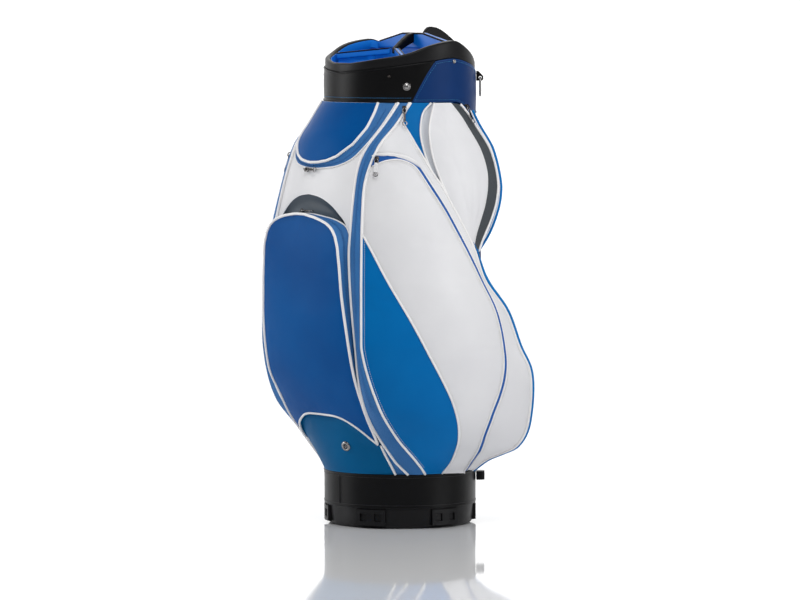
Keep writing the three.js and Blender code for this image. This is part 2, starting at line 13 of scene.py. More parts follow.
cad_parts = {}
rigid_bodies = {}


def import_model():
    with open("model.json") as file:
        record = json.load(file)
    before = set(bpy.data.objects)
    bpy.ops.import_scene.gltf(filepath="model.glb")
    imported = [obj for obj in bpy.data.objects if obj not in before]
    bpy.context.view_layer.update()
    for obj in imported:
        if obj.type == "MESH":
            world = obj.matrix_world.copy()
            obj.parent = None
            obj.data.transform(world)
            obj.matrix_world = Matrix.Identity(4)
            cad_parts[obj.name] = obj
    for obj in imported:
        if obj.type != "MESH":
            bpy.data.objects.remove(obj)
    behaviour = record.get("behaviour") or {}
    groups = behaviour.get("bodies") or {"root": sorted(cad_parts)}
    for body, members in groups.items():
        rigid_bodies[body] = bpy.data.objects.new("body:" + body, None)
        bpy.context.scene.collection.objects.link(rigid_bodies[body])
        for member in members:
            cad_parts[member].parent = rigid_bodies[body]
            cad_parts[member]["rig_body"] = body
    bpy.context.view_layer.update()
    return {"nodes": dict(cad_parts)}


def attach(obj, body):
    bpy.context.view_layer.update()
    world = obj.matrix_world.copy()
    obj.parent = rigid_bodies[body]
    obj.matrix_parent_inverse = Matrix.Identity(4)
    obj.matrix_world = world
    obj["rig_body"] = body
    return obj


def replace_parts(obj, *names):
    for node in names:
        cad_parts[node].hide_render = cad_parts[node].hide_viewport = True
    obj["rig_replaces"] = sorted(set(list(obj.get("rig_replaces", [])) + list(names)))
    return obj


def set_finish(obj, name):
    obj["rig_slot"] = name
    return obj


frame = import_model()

MM = 0.001

# ---- Camera and light --------------------------------------------------------------------------

CAMERA_PLACE = Vector((7.883, -5.940, 1.036))
CAMERA_AIM = Vector((0, 0, 0.399))
CAMERA_LENS = 248
CAMERA_REACH = 400
LIGHT_AIM = Vector((0, 0, 0.45))


def add_object(name, data):
    obj = bpy.data.objects.new(name, data)
    bpy.context.scene.collection.objects.link(obj)
    return obj


def aim(obj, place, target):
    obj.location = place
    obj.rotation_euler = (target - place).to_track_quat("-Z", "Y").to_euler()


def make_camera():
    camera = add_object("camera", bpy.data.cameras.new("camera"))
    camera.data.lens = CAMERA_LENS
    camera.data.clip_end = CAMERA_REACH
    aim(camera, CAMERA_PLACE, CAMERA_AIM)
    bpy.context.scene.camera = camera


def make_softbox(name, azimuth, height, distance, size, watts):
    """An area light round the bag, aimed at its middle. Azimuth is measured as the angles are."""
    light = bpy.data.lights.new(name, "AREA")
    light.shape = "RECTANGLE"
    light.size, light.size_y = size
    light.energy = watts
    turn = math.radians(azimuth)
    place = Vector((distance * math.sin(turn), -distance * math.cos(turn), height))
    aim(add_object(name, light), place, LIGHT_AIM)


def make_world(bright_side, strengths):
    """A white studio that is brightest towards one side: its backdrop."""
    world = bpy.data.worlds.new("studio")
    world.use_nodes = True
    nodes, links = world.node_tree.nodes, world.node_tree.links
    direction = nodes.new("ShaderNodeTexCoord")
    facing = nodes.new("ShaderNodeVectorMath")
    facing.operation = "DOT_PRODUCT"
    facing.inputs[1].default_value = bright_side.normalized()
    level = nodes.new("ShaderNodeMapRange")
    level.interpolation_type = "SMOOTHSTEP"
    for socket, value in zip(("From Min", "From Max", "To Min", "To Max"), (0.3, 0.85, *strengths)):
        level.inputs[socket].default_value = value
    links.new(direction.outputs["Generated"], facing.inputs[0])
    links.new(facing.outputs["Value"], level.inputs["Value"])
    background = nodes["Background"]
    background.inputs["Color"].default_value = (1, 1, 1, 1)
    links.new(level.outputs["Result"], background.inputs["Strength"])
    bpy.context.scene.world = world


make_camera()
make_world(Vector((-0.8, 0.6, 0)), (0.27, 1.4))
make_softbox("softbox_left", -40, 1.1, 2.6, (0.9, 1.9), 26)
make_softbox("softbox_right", 118, 1.2, 2.8, (1.0, 1.9), 24)
make_softbox("softbox_top", 62, 3.3, 2.2, (1.8, 1.8), 62)
bpy.context.scene.view_settings.view_transform = "Standard"

# ---- Curves ------------------------------------------------------------------------------------


def lerp(a, b, share):
    return a + (b - a) * share


def through(stations):
    """A smooth function through [place, value] stations in rising order, flat beyond its ends."""
    last = len(stations) - 1

    def slope(i):
        low, high = stations[max(i - 1, 0)], stations[min(i + 1, last)]
        return (high[1] - low[1]) / (high[0] - low[0])

    def value(place):
        if place <= stations[0][0]:
            return stations[0][1]
        if place >= stations[last][0]:
            return stations[last][1]
        i = next(k for k in range(last + 1) if stations[k][0] > place) - 1
        (x0, y0), (x1, y1) = stations[i], stations[i + 1]
        span = x1 - x0
        t = (place - x0) / span
        chord = (y1 - y0) / span
        m0, m1 = (
            0 if chord * s <= 0 else math.copysign(min(abs(s), 3 * abs(chord)), s)
            for s in (slope(i), slope(i + 1))
        )
        return y0 + (y1 - y0) * t * t * (3 - 2 * t) + span * t * (1 - t) * (m0 * (1 - t) - m1 * t)

    return value


def at(angle, radius, height):
    """A point, in metres, by its angle from the front, distance from the bag's axis and height."""
    turn = math.radians(angle)
    return Vector((radius * math.sin(turn), -radius * math.cos(turn), height)) * MM


def fold(angle):
    """An angle's distance from the front, either way round."""
    return abs((angle + 540) % 360 - 180)


def crown(share):
    """Rises from 0 at either end to 1 in the middle."""
    return 1 - (2 * share - 1) ** 2


def by_height(radius_at):
    """A surface round the bag whose radius follows the height alone."""
    return lambda angle, height: radius_at(height)


# The bag's form, as in the CAD model: radii and angles by height.
band_angle = through([[97, 59], [122, 49.7], [186, 38.3], [252, 34.9], [331, 33.7], [410, 32], [488, 30.7],
                      [522, 30.3], [610, 30.5], [651, 31.6], [682, 35.2], [716, 42.3], [757, 52]])
band_radius = through([[97, 136.5], [122, 153], [186, 190], [252, 224], [331, 237], [410, 239], [488, 236],
                       [522, 228], [610, 208], [651, 196], [682, 184], [716, 160], [757, 137]])
face_angle = through([[97, 72], [125, 62.5], [165, 51.6], [222, 43.7], [330, 36.8], [440, 36.8], [606, 35.3],
                      [681, 41.3], [721, 51], [757, 60]])
face_radius = through([[97, 136.5], [125, 162], [165, 185], [222, 223], [330, 243.6], [440, 243.6],
                       [606, 209.5], [681, 185], [721, 156], [757, 137]])
full_radius = through([[97, 137], [125, 172], [165, 208], [222, 227], [330, 236], [440, 236], [504, 226],
                       [606, 205], [681, 178], [721, 152], [757, 137]])
seam_angle = through([[97, 121], [129, 121], [168, 124], [205, 124], [252, 123], [284, 122], [322, 118],
                      [386, 112], [443, 100], [504, 93], [610, 77], [635, 72], [660, 67.6], [681, 63.5],
                      [700, 59.8], [719, 55.4], [729, 53.8], [741, 56.6], [757, 61.2]])
seam_radius = through([[97, 138], [118, 167], [129, 193], [141, 219], [168, 236], [205, 244], [252, 248],
                       [284, 245], [322, 233], [386, 219], [443, 205], [504, 200], [610, 180], [719, 146],
                       [757, 137]])
leaf_front_angle = through([[610, 78.2], [617, 77.2], [658, 73.2], [694, 72], [721, 73.4], [757, 79]])
leaf_front_radius = through([[490, 196], [610, 180], [658, 170], [694, 160], [721, 150], [757, 137]])
leaf_rear_angle = through([[490, 110], [528, 118], [571, 122], [606, 124], [671, 122], [717, 119],
                           [757, 112]])
leaf_rear_radius = through([[490, 160], [528, 174], [571, 185], [606, 187], [671, 174], [717, 150],
                            [757, 137]])
bib_middle = through([[500, 210], [590, 203], [646, 188], [690, 170], [720, 154], [757, 137]])
arch_height = through([[0, 595], [9, 590], [17, 577], [22.8, 560], [26.6, 546], [30, 518]])
ball_angle = through([[150, 40], [170, 38.6], [193, 36.8], [229, 34.6], [281, 32.7], [386, 29.5],
                      [438, 27.8], [490, 26.9], [524, 24.9], [544, 20.4], [555, 12.4], [560, 4]])
ball_edge = through([[150, 168], [193, 196], [229, 213], [281, 235], [386, 246], [490, 246], [524, 242],
                     [544, 235], [555, 228], [560, 222]])
ball_middle = through([[193, 172], [229, 190], [281, 209], [386, 227], [490, 227], [524, 225], [544, 222],
                       [560, 218]])
ball_bottom = through([[0, 203], [13, 202], [22, 196], [31, 181], [37, 163], [40, 153]])
lower_edge = through([[97, 49.6], [132, 43.8], [155, 41]])
lower_middle = through([[97, 137], [122, 146], [150, 155], [194, 167]])
accessory_edge = through([[651, 3], [655, 11], [663, 17.5], [685, 26.4], [713, 32.3], [741, 35.6],
                          [757, 36.8]])
pad_radius = through([[97, 136], [140, 143], [690, 143], [730, 137]])
rim_top = through([[0, 826], [10, 826], [32, 833], [56, 842], [78, 858], [100, 866], [106, 863], [123, 846],
                   [143, 827], [180, 827]])
collar_top = through([[0, 808], [32, 815], [56, 822], [78, 829], [97, 834], [123, 822], [143, 809],
                      [180, 809]])
collar_seam = through([[0, 61.5], [0.65, 72], [1, 80]])
collar_rear_bottom = through([[62, 757], [100, 757], [125, 735], [180, 735]])

BAND_TOP = 97.3
COLLAR_BOTTOM = 756.7
POCKET_BACK = 132.6
COLLAR_RADIUS = 136
COLLAR_FRONT_HALF = 61.5
BALL_TOP = 560


def side_section(height):
    """How the angle and the radius run across a side pocket, from its front seam (0) to its rear one (1)."""
    band, face, rear = band_angle(height), face_angle(height), seam_angle(height)
    angles = through([[0, band], [0.15, min(face, rear - 0.8)], [0.55, lerp(face, rear, 0.5)], [1, rear]])
    radii = through([[0, band_radius(height)], [0.15, face_radius(height)], [0.55, full_radius(height)],
                     [1, seam_radius(height)]])
    return angles, radii


HALVINGS = 14


def side_surface(angle, height):
    """The side pocket's radius at an angle, found by halving its section again and again."""
    angles, radii = side_section(height)
    low, high = 0, 1
    for _ in range(HALVINGS):
        middle = (low + high) / 2
        low, high = (middle, high) if angles(middle) < angle else (low, middle)
    return radii(low)


def bib_surface(angle, height):
    return lerp(bib_middle(height), band_radius(height) - 2, min(1, (angle / band_angle(height)) ** 2))


def ball_surface(angle, height):
    return lerp(ball_middle(height), ball_edge(height), min(1.2, (angle / ball_angle(height)) ** 2))


def lower_surface(angle, height):
    return lerp(lower_middle(height), band_radius(height) - 3, min(1, (angle / band_angle(height)) ** 2))


def leaf_left_angle(height):
    return max(leaf_front_angle(height), seam_angle(height) + 1)


def leaf_surface(angle, height):
    front, rear = leaf_left_angle(height), leaf_rear_angle(height)
    share = min(1, max(0, (angle - front) / (rear - front)))
    return lerp(leaf_front_radius(height), leaf_rear_radius(height), share) + 5 * crown(share)


def upper_surface(angle, height):
    front, rear = seam_angle(height), leaf_left_angle(height)
    share = min(1, max(0, (angle - front) / (rear - front)))
    return lerp(seam_radius(height), leaf_front_radius(height), share) - 1


ACCESSORY = {"depth": 10, "flattens_over": 55, "edge_drop": 0.35, "cloth": 1.2}


def accessory_surface(angle, height):
    """The accessory pocket stands proud of the bib and flattens out under the collar."""
    proud = ACCESSORY["depth"] * min(1, (COLLAR_BOTTOM + 1 - height) / ACCESSORY["flattens_over"]) ** 0.7
    across = min(1, abs(angle) / accessory_edge(height))
    proud *= 1 - ACCESSORY["edge_drop"] * across ** 2
    return bib_surface(angle, height) + proud + ACCESSORY["cloth"]


class Seam:
    """A smooth line on the bag through (angle, height) points. seam(share) is a place along it."""

    SPREAD = 3.6  # mm round the bag to a degree, for measuring along a seam

    def __init__(self, points, smooth=True):
        flat = [Vector((angle * self.SPREAD, height)) for angle, height in points]
        if smooth:
            ends = [2 * flat[0] - flat[1], *flat, 2 * flat[-1] - flat[-2]]
            flat = [self._between(*ends[i:i + 4], step / 10) for i in range(len(flat) - 1)
                    for step in range(10)] + [flat[-1]]
        self.flat = flat
        self.along = [0]
        for a, b in zip(flat, flat[1:]):
            self.along.append(self.along[-1] + (b - a).length)
        self.length = self.along[-1]

    @staticmethod
    def _between(a, b, c, d, t):
        return 0.5 * (2 * b + (c - a) * t + (2 * a - 5 * b + 4 * c - d) * t * t
                      + (3 * b - a - 3 * c + d) * t ** 3)

    def _place(self, share):
        want = min(1, max(0, share)) * self.length
        low, high = 0, len(self.along) - 1
        while high - low > 1:
            middle = (low + high) // 2
            low, high = (middle, high) if self.along[middle] <= want else (low, middle)
        part = (want - self.along[low]) / max(self.along[high] - self.along[low], 1e-9)
        return self.flat[low].lerp(self.flat[high], part)

    def __call__(self, share):
        place = self._place(share)
        return place.x / self.SPREAD, place.y

    def offset(self, distance):
        """A line beside this one: distance(share) to its right as one goes along it."""
        points = []
        for step in range(121):
            share = step / 120
            ahead = self._place(share + 0.01) - self._place(share - 0.01)
            aside = Vector((ahead.y, -ahead.x)).normalized() * distance(share)
            place = self._place(share) + aside
            points.append((place.x / self.SPREAD, place.y))
        return Seam(points, smooth=False)

    def then(self, other):
        return Seam([(p.x / self.SPREAD, p.y) for p in self.flat + other.flat], smooth=False)

    @classmethod
    def arching(cls, points, smooth=True):
        """A line that ends on the middle plane, and goes back along its mirror image."""
        return cls(points + [(-angle, height) for angle, height in points[-2::-1]], smooth)

    def on(self, surface, lift=0):
        """The line as points in space, on a surface or lifted off it: function of a share."""
        def point(share):
            angle, height = self(share)
            return at(angle, surface(angle, height) + lift, height)
        return point


def rise(angle_at, low, high):
    """A line up the bag whose angle follows a function of the height."""
    steps = 60
    heights = [lerp(low, high, i / steps) for i in range(steps + 1)]
    return Seam([(angle_at(height), height) for height in heights], smooth=False)


# The seams of the right side pocket.
BAND_LINE = rise(band_angle, BAND_TOP, COLLAR_BOTTOM)
FACE_LINE = rise(face_angle, BAND_TOP, COLLAR_BOTTOM)
REAR_LINE = rise(seam_angle, BAND_TOP, COLLAR_BOTTOM)
PATCH_TOP = 527
PATCH_LINE = Seam([(86, 97.3), (86.3, 118), (84.4, 150), (81.2, 190), (77.2, 229), (71.9, 269), (65.2, 318),
                   (58.2, 372), (49.3, 436), (41, 497), (36.4, PATCH_TOP)])
STRIPE_LINE = Seam([(110, 97.3), (101, 128), (96.8, 165), (98, 204), (100.8, 237), (103.2, 270),
                    (104.8, 309), (104.6, 350), (102.5, 390), (99, 425), (94.5, 458), (89.3, 489),
                    (82.8, 532), (76.9, 571), (69.6, 611), (63.5, 643), (59, 655), (53.5, 661.5), (48, 663),
                    (42.6, 660.5), (37.9, 655)])


STRIPE = {"half_width": 3.9, "wedge": 5.5, "wedge_from": 0.925}


def stripe_half_width(share):
    """The zip stripe is narrow, and widens into a wedge where the zip starts."""
    into_wedge = max(0, (share - STRIPE["wedge_from"]) / (1 - STRIPE["wedge_from"]))
    return STRIPE["half_width"] + STRIPE["wedge"] * into_wedge ** 1.2


STRIPE_FACE_SIDE = STRIPE_LINE.offset(lambda share: -stripe_half_width(share))
STRIPE_REAR_SIDE = STRIPE_LINE.offset(stripe_half_width)

# The upper rear pocket's seams.
CRESCENT_LINE = Seam([(80.6, 592), (77.6, 611), (72, 637), (68.3, 670), (66.6, 705), (69.4, 738),
                      (76.5, 756)])
LEAF_LINE = rise(leaf_left_angle, 493, 756)
GREY_INNER = Seam([(95.2, 494), (98.2, 522), (101.9, 547), (105.9, 577), (109, 612), (110, 637),
                   (107.7, 676), (101.9, 722), (92.6, 756)])
GREY_OUTER = Seam([(101.5, 494), (107.3, 520), (113.2, 545), (118.1, 577), (121, 610), (121.4, 635),
                   (119.2, 674), (112.8, 721), (101.5, 753)])
LEAF_REAR_LINE = Seam([(leaf_rear_angle(h), h) for h in (494, 520, 560, 606, 650, 700, 741)])

# The front: ball pocket, its gusset and the arch above it, and the accessory pocket.
BALL_FOOT = 155
ACCESSORY_FOOT = 651
ACCESSORY_TOP = 756.5
BALL_HEIGHTS = (BALL_FOOT, 170, 193, 215, 240, 300, 360, 420, 470, 505, 524, 534, 541, 547, 552, 556, 558.5)
BALL_OUTLINE = Seam.arching([(ball_angle(h), h) for h in BALL_HEIGHTS]
                            + [(4, BALL_TOP), (0, BALL_TOP)], smooth=False)
GUSSET_OUTLINE = Seam.arching([(42.4, 152), (40, 172), (37.4, 195), (35.5, 229), (34, 281), (33, 331),
                               (32.1, 386), (31, 450), (30.6, 500), (29.9, 524), (27, 541), (20.8, 551.5),
                               (13.9, 556.4), (6, 560.2), (0, 560.8)])
gusset_radius = through([[152, 163], [193, 184], [252, 214], [331, 230], [410, 234], [488, 232], [522, 225],
                         [546, 213], [562, 205]])
ARCH_OUTLINE = Seam.arching([(30.4, 508), (29.8, 522), (26.6, 546), (22.8, 560), (17, 577), (9, 590),
                             (0, 595)])
ACCESSORY_HEIGHTS = (ACCESSORY_TOP, 741, 713, 685, 663, 655, 651.8)
ACCESSORY_OUTLINE = Seam.arching([(accessory_edge(h), h) for h in ACCESSORY_HEIGHTS]
                                 + [(0, ACCESSORY_FOOT)], smooth=False)
ACCESSORY_GUSSET = Seam.arching([(50.3, ACCESSORY_TOP), (45.2, 735), (39.2, 708), (33.4, 682), (27, 660),
                                 (18.7, 647), (9.6, 642), (0, 640.5)])
LOWER_LINE = rise(lower_edge, BAND_TOP, 152)

# ---- Meshes ------------------------------------------------------------------------------------


def mesh_data(name, mesh):
    data = bpy.data.meshes.new(name)
    mesh.to_mesh(data)
    mesh.free()
    return data


def piece(name, mesh, finish, body="root", nodes=(), sharp=None):
    """Puts a bmesh into the scene as a piece with a finish, riding on a body."""
    bmesh.ops.recalc_face_normals(mesh, faces=mesh.faces)
    data = mesh_data(name, mesh)
    data.shade_smooth()
    if sharp:
        data.set_sharp_from_angle(angle=math.radians(sharp))
    return dress(add_object(name, data), finish, body, nodes)


def dress(obj, finish, body="root", nodes=()):
    material, slot = finish
    obj.data.materials.clear()
    obj.data.materials.append(material)
    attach(obj, body)
    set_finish(obj, slot)
    if nodes:
        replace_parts(obj, *nodes)
    return obj


def twin(obj):
    """The left-hand copy of a right-hand piece."""
    name = obj.name.replace("_right", "_left")
    data = obj.data.copy()
    data.name = name
    data.transform(Matrix.Scale(-1, 4, (1, 0, 0)))
    data.flip_normals()
    copy = add_object(name, data)
    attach(copy, obj["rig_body"].replace("_right", "_left"))
    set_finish(copy, obj["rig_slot"])
    left_nodes = [node.replace("_right", "_left") for node in obj.get("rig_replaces", [])]
    if left_nodes:
        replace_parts(copy, *left_nodes)
    return copy


def skin(mesh, rings, closed=False):
    """Adds the faces from each ring of vertices to the next, and back to the first or over both ends."""
    for low, high in zip(rings, rings[1:] + rings[:1] if closed else rings[1:]):
        for k, corner in enumerate(low):
            after = (k + 1) % len(low)
            mesh.faces.new((corner, low[after], high[after], high[k]))
    if not closed:
        mesh.faces.new(rings[0][::-1])
        mesh.faces.new(rings[-1])


def around(steps):
    return [2 * math.pi * k / steps for k in range(steps)]


def tube(mesh, points, radius, sides=10, closed=False, radii=None):
    """Adds a round tube along points to a bmesh. radii scales the radius at each point."""
    count = len(points)
    radii = radii or [1] * count
    rings = []
    normal = None
    for i, point in enumerate(points):
        if closed:
            ahead = points[(i + 1) % count] - points[i - 1]
        else:
            ahead = points[min(i + 1, count - 1)] - points[max(i - 1, 0)]
        ahead.normalize()
        normal = normal or ahead.orthogonal()
        normal = (normal - ahead * normal.dot(ahead)).normalized()
        aside = ahead.cross(normal)
        reach = radius * radii[i] * MM
        rings.append([mesh.verts.new(point + reach * (math.cos(turn) * normal + math.sin(turn) * aside))
                      for turn in around(sides)])
    skin(mesh, rings, closed)


def sampled(line, count, start=0, end=1):
    return [line(lerp(start, end, i / count)) for i in range(count + 1)]


def length_of(line):
    points = sampled(line, 60)
    return sum((b - a).length for a, b in zip(points, points[1:])) / MM


def cord_of(mesh, line, radius, start=0, end=1, sides=10):
    """Piping: a tube along a line in space, in steps of 5 mm."""
    count = max(4, int(length_of(line) * (end - start) / 5))
    tube(mesh, sampled(line, count, start, end), radius, sides)


STITCH = {"pitch": 4.2, "length": 2.9, "radius": 0.42}


def stitches(mesh, line, start=0, end=1):
    """A row of separate stitches along a line in space."""
    long = length_of(line) * (end - start)
    count = int(long / STITCH["pitch"])
    half = STITCH["length"] / 2 / long * (end - start)
    for i in range(count):
        middle = lerp(start, end, (i + 0.5) / count)
        points = [line(middle + k * half) for k in (-1, 0, 1)]
        tube(mesh, points, STITCH["radius"], sides=5, radii=[0.55, 1, 0.55])


ZIP_TOOTH = {"pitch": 2.6, "reach": 1.5, "radius": 0.62}


def zip_teeth(mesh, line, aside, start=0, end=1):
    """The coils of a closed zip: short rounded teeth from either side of a line in space."""
    long = length_of(line) * (end - start)
    count = int(long / ZIP_TOOTH["pitch"])
    for i in range(count):
        share = lerp(start, end, (i + 0.5) / count)
        point, side = line(share), aside(share)
        reach = ZIP_TOOTH["reach"] * MM * (1 if i % 2 else -1)
        tube(mesh, [point - side * reach * 0.2, point + side * reach], ZIP_TOOTH["radius"], sides=6)


CELL = 7
panels = {}


def panel(name, place, finish, columns, rows, held=None, nodes=(), thick=1.8, body="root"):
    """A sewn panel. place(u, v) is a point of its outer face, u across it and v along it.

    It keeps its seams in panels, for the cloth that fills it out later, and a map of real distances
    across and along it, for its weave. held(u, v) says where else it is sewn down.
    """
    mesh = bmesh.new()
    flow = mesh.loops.layers.uv.new("flow")
    points = [[place(i / columns, j / rows) for j in range(rows + 1)] for i in range(columns + 1)]
    verts = [[mesh.verts.new(point) for point in column] for column in points]
    middle = columns // 2
    along = [0]
    for j in range(rows):
        along.append(along[-1] + (points[middle][j + 1] - points[middle][j]).length)
    across = [[0] for _ in range(rows + 1)]
    for j in range(rows + 1):
        for i in range(columns):
            across[j].append(across[j][-1] + (points[i + 1][j] - points[i][j]).length)
    spots = {verts[i][j]: (across[j][i] - across[j][-1] / 2, along[j])
             for i in range(columns + 1) for j in range(rows + 1)}
    for i in range(columns):
        for j in range(rows):
            corners = (verts[i][j], verts[i + 1][j], verts[i + 1][j + 1], verts[i][j + 1])
            face = mesh.faces.new(corners)
            for loop in face.loops:
                loop[flow].uv = spots[loop.vert]
    outward = sum(f.normal.dot(Vector((f.calc_center_median().x, f.calc_center_median().y, 0)))
                  for f in mesh.faces if not f.normal_update())
    if outward < 0:
        bmesh.ops.reverse_faces(mesh, faces=mesh.faces)
    obj = add_object(name, mesh_data(name, mesh))
    sewn = [i * (rows + 1) + j for i in range(columns + 1) for j in range(rows + 1)
            if i in (0, columns) or j in (0, rows) or held and held(i / columns, j / rows)]
    panels[obj] = {"sewn": sewn, "thick": thick}
    return dress(obj, finish, body, nodes)


def between(left, right, surface, lift=lambda u, v: 0):
    """Where a panel between two seams lies on a surface of the bag."""
    def place(u, v):
        (a0, h0), (a1, h1) = left(v), right(v)
        angle, height = lerp(a0, a1, u), lerp(h0, h1, u)
        return at(angle, surface(angle, height) + lift(u, v), height)
    return place


def strip(first, second, sag=0):
    """Where a strip between two lines in space lies, sagging inwards between them."""
    def place(u, v):
        point = first(v).lerp(second(v), u)
        out = Vector((point.x, point.y, 0)).normalized()
        return point - out * sag * MM * math.sin(math.pi * u)
    return place


FILL = {"pressure": 3.0, "cap": 3.2, "frames": 20}


def fill_panels(chosen):
    """Cloth, held along its seams and pressed out a little from inside, as foam does a sewn panel."""
    for obj in chosen:
        sewn = obj.vertex_groups.new(name="sewn")
        sewn.add(panels[obj]["sewn"], 1, "REPLACE")
        cloth = obj.modifiers.new("cloth", "CLOTH")
        cloth.settings.quality = 5
        cloth.settings.mass = 0.3
        cloth.settings.bending_stiffness = 2
        cloth.settings.use_pressure = True
        cloth.settings.uniform_pressure_force = FILL["pressure"]
        cloth.settings.vertex_group_mass = "sewn"
        cloth.settings.effector_weights.gravity = 0
        cloth.settings.shrink_min = -0.002
        cloth.collision_settings.use_collision = False
    for number in range(1, FILL["frames"] + 1):
        bpy.context.scene.frame_set(number)
    graph = bpy.context.evaluated_depsgraph_get()
    for obj in chosen:
        result = obj.evaluated_get(graph).data
        moved = [v.co.copy() for v in result.vertices]
        obj.modifiers.clear()
        obj.vertex_groups.clear()
        cap = FILL["cap"] * MM
        for vertex, place in zip(obj.data.vertices, moved):
            step = place - vertex.co
            far = step.length
            if far > 1e-7:
                vertex.co += step / far * cap * math.tanh(far / cap)
    bpy.context.scene.frame_set(1)


RIPPLE = {"size": 0.075, "height": 0.55}


def soften_panel(obj):
    """Gives a panel its slight unevenness, its thickness and a smooth surface."""
    sewn = set(panels[obj]["sewn"])
    data = obj.data
    for vertex in data.vertices:
        if vertex.index not in sewn:
            bump = noise.noise(vertex.co / RIPPLE["size"]) * RIPPLE["height"] * MM
            vertex.co += vertex.normal * bump
    smooth = obj.modifiers.new("smooth", "SUBSURF")
    smooth.levels = smooth.render_levels = 1
    solid = obj.modifiers.new("solid", "SOLIDIFY")
    solid.thickness = panels[obj]["thick"] * MM
    solid.offset = -1
    graph = bpy.context.evaluated_depsgraph_get()
    final = bpy.data.meshes.new_from_object(obj.evaluated_get(graph))
    obj.modifiers.clear()
    obj.data = final
    final.shade_smooth()
    final.set_sharp_from_angle(angle=math.radians(60))


def turned(mesh, outline, angles):
    """Adds a body of revolution. outline(angle) is its section as (radius, height) pairs, closed into a
    ring, or open where it starts and ends on the axis."""
    columns = [[at(angle, *spot) for spot in outline(angle)] for angle in angles]
    rows = len(columns[0])
    on_axis = abs(outline(angles[0])[0][0]) < 1e-6
    if on_axis:
        low = mesh.verts.new(columns[0][0])
        high = mesh.verts.new(columns[0][-1])
        rings = [[low] + [mesh.verts.new(p) for p in column[1:-1]] + [high] for column in columns]
    else:
        rings = [[mesh.verts.new(p) for p in column] for column in columns]
    spans = rows - 1 if on_axis else rows
    for a, b in zip(rings, rings[1:] + rings[:1]):
        for j in range(spans):
            corners = [a[j], b[j], b[(j + 1) % rows], a[(j + 1) % rows]]
            unique = list(dict.fromkeys(corners))
            if len(unique) > 2:
                mesh.faces.new(unique)


def turned_piece(name, outline, angles, finish, **details):
    mesh = bmesh.new()
    turned(mesh, outline, angles)
    return piece(name, mesh, finish, **details)


def rounded(outline, radius, steps=3):
    """An outline with its corners rounded off."""
    result = []
    count = len(outline)
    for i, corner in enumerate(outline):
        corner = Vector(corner)
        before, after = Vector(outline[i - 1]) - corner, Vector(outline[(i + 1) % count]) - corner
        cut = min(radius, before.length * 0.45, after.length * 0.45)
        start, end = corner + before.normalized() * cut, corner + after.normalized() * cut
        for k in range(steps + 1):
            t = k / steps
            result.append(tuple(start * (1 - t) ** 2 + corner * 2 * t * (1 - t) + end * t * t))
    return result


def full_turn(step):
    return [step * i for i in range(int(360 / step))]


# ---- Finishes ----------------------------------------------------------------------------------


def srgb(*levels):
    return tuple((c / 255 / 12.92 if c < 10 else ((c / 255 + 0.055) / 1.055) ** 2.4) for c in levels) + (1,)


class Finish:
    """A procedural material, built node by node. Inputs are numbers, colours or other nodes' outputs."""

    def __init__(self, name):
        self.material = bpy.data.materials.new(name)
        self.material.use_nodes = True
        self.tree = self.material.node_tree
        self.shader = self.tree.nodes["Principled BSDF"]

    def node(self, kind, inputs, **settings):
        made = self.tree.nodes.new("ShaderNode" + kind)
        for key, value in settings.items():
            setattr(made, key, value)
        for key, value in inputs.items():
            self.plug(made.inputs[key], value)
        return made.outputs[0]

    def plug(self, socket, value):
        if isinstance(value, bpy.types.NodeSocket):
            self.tree.links.new(value, socket)
        else:
            socket.default_value = value

    def set(self, **values):
        for key, value in values.items():
            self.plug(self.shader.inputs[key.replace("_", " ")], value)

    def place(self):
        coordinates = self.tree.nodes.new("ShaderNodeTexCoord")
        return coordinates.outputs["Object"]

    def noise(self, scale, detail=3, place=None):
        return self.node("TexNoise", {"Vector": place or self.place(), "Scale": scale, "Detail": detail})

    def ramp(self, factor, stops):
        made = self.tree.nodes.new("ShaderNodeValToRGB")
        self.plug(made.inputs["Fac"], factor)
        ramp = made.color_ramp
        ramp.elements[0].position, ramp.elements[0].color = stops[0]
        ramp.elements[1].position, ramp.elements[1].color = stops[-1]
        for position, colour in stops[1:-1]:
            ramp.elements.new(position).color = colour
        return made.outputs["Color"]

    def math(self, operation, a, b=0.0, c=0.0):
        return self.node("Math", {0: a, 1: b, 2: c}, operation=operation)

    def mix(self, factor, a, b):
        made = self.tree.nodes.new("ShaderNodeMix")
        made.data_type = "RGBA"
        for index, value in ((0, factor), (6, a), (7, b)):
            self.plug(made.inputs[index], value)
        return made.outputs[2]

    def bump(self, height, strength, distance):
        made = self.node("Bump", {"Height": height, "Strength": strength, "Distance": distance})
        self.plug(self.shader.inputs["Normal"], made)

    def patchy_roughness(self, scale, detail, limits):
        cloud = self.noise(scale, detail)
        low, high = limits
        self.set(Roughness=self.node("MapRange", {"Value": cloud, "To Min": low, "To Max": high}))

    def worn(self, colour, worn):
        """Mixes in a paler colour where the surface turns sharply outwards."""
        pointed = self.tree.nodes.new("ShaderNodeNewGeometry").outputs["Pointiness"]
        edge = self.node("MapRange", {"Value": pointed, "From Min": 0.53, "From Max": 0.62, "To Max": 0.5})
        return self.mix(edge, colour, worn)

    def flow(self, axis):
        """Distance across (X) or along (Y) a panel, in metres."""
        made = self.tree.nodes.new("ShaderNodeUVMap")
        made.uv_map = "flow"
        split = self.tree.nodes.new("ShaderNodeSeparateXYZ")
        self.tree.links.new(made.outputs["UV"], split.inputs[0])
        return split.outputs[axis]

    def waves(self, value, pitch):
        """Rises and falls between 0 and 1 once in each pitch of a distance."""
        turned_value = self.math("MULTIPLY", value, 2 * math.pi / pitch)
        return self.math("MULTIPLY_ADD", self.math("SINE", turned_value), 0.5, 0.5)


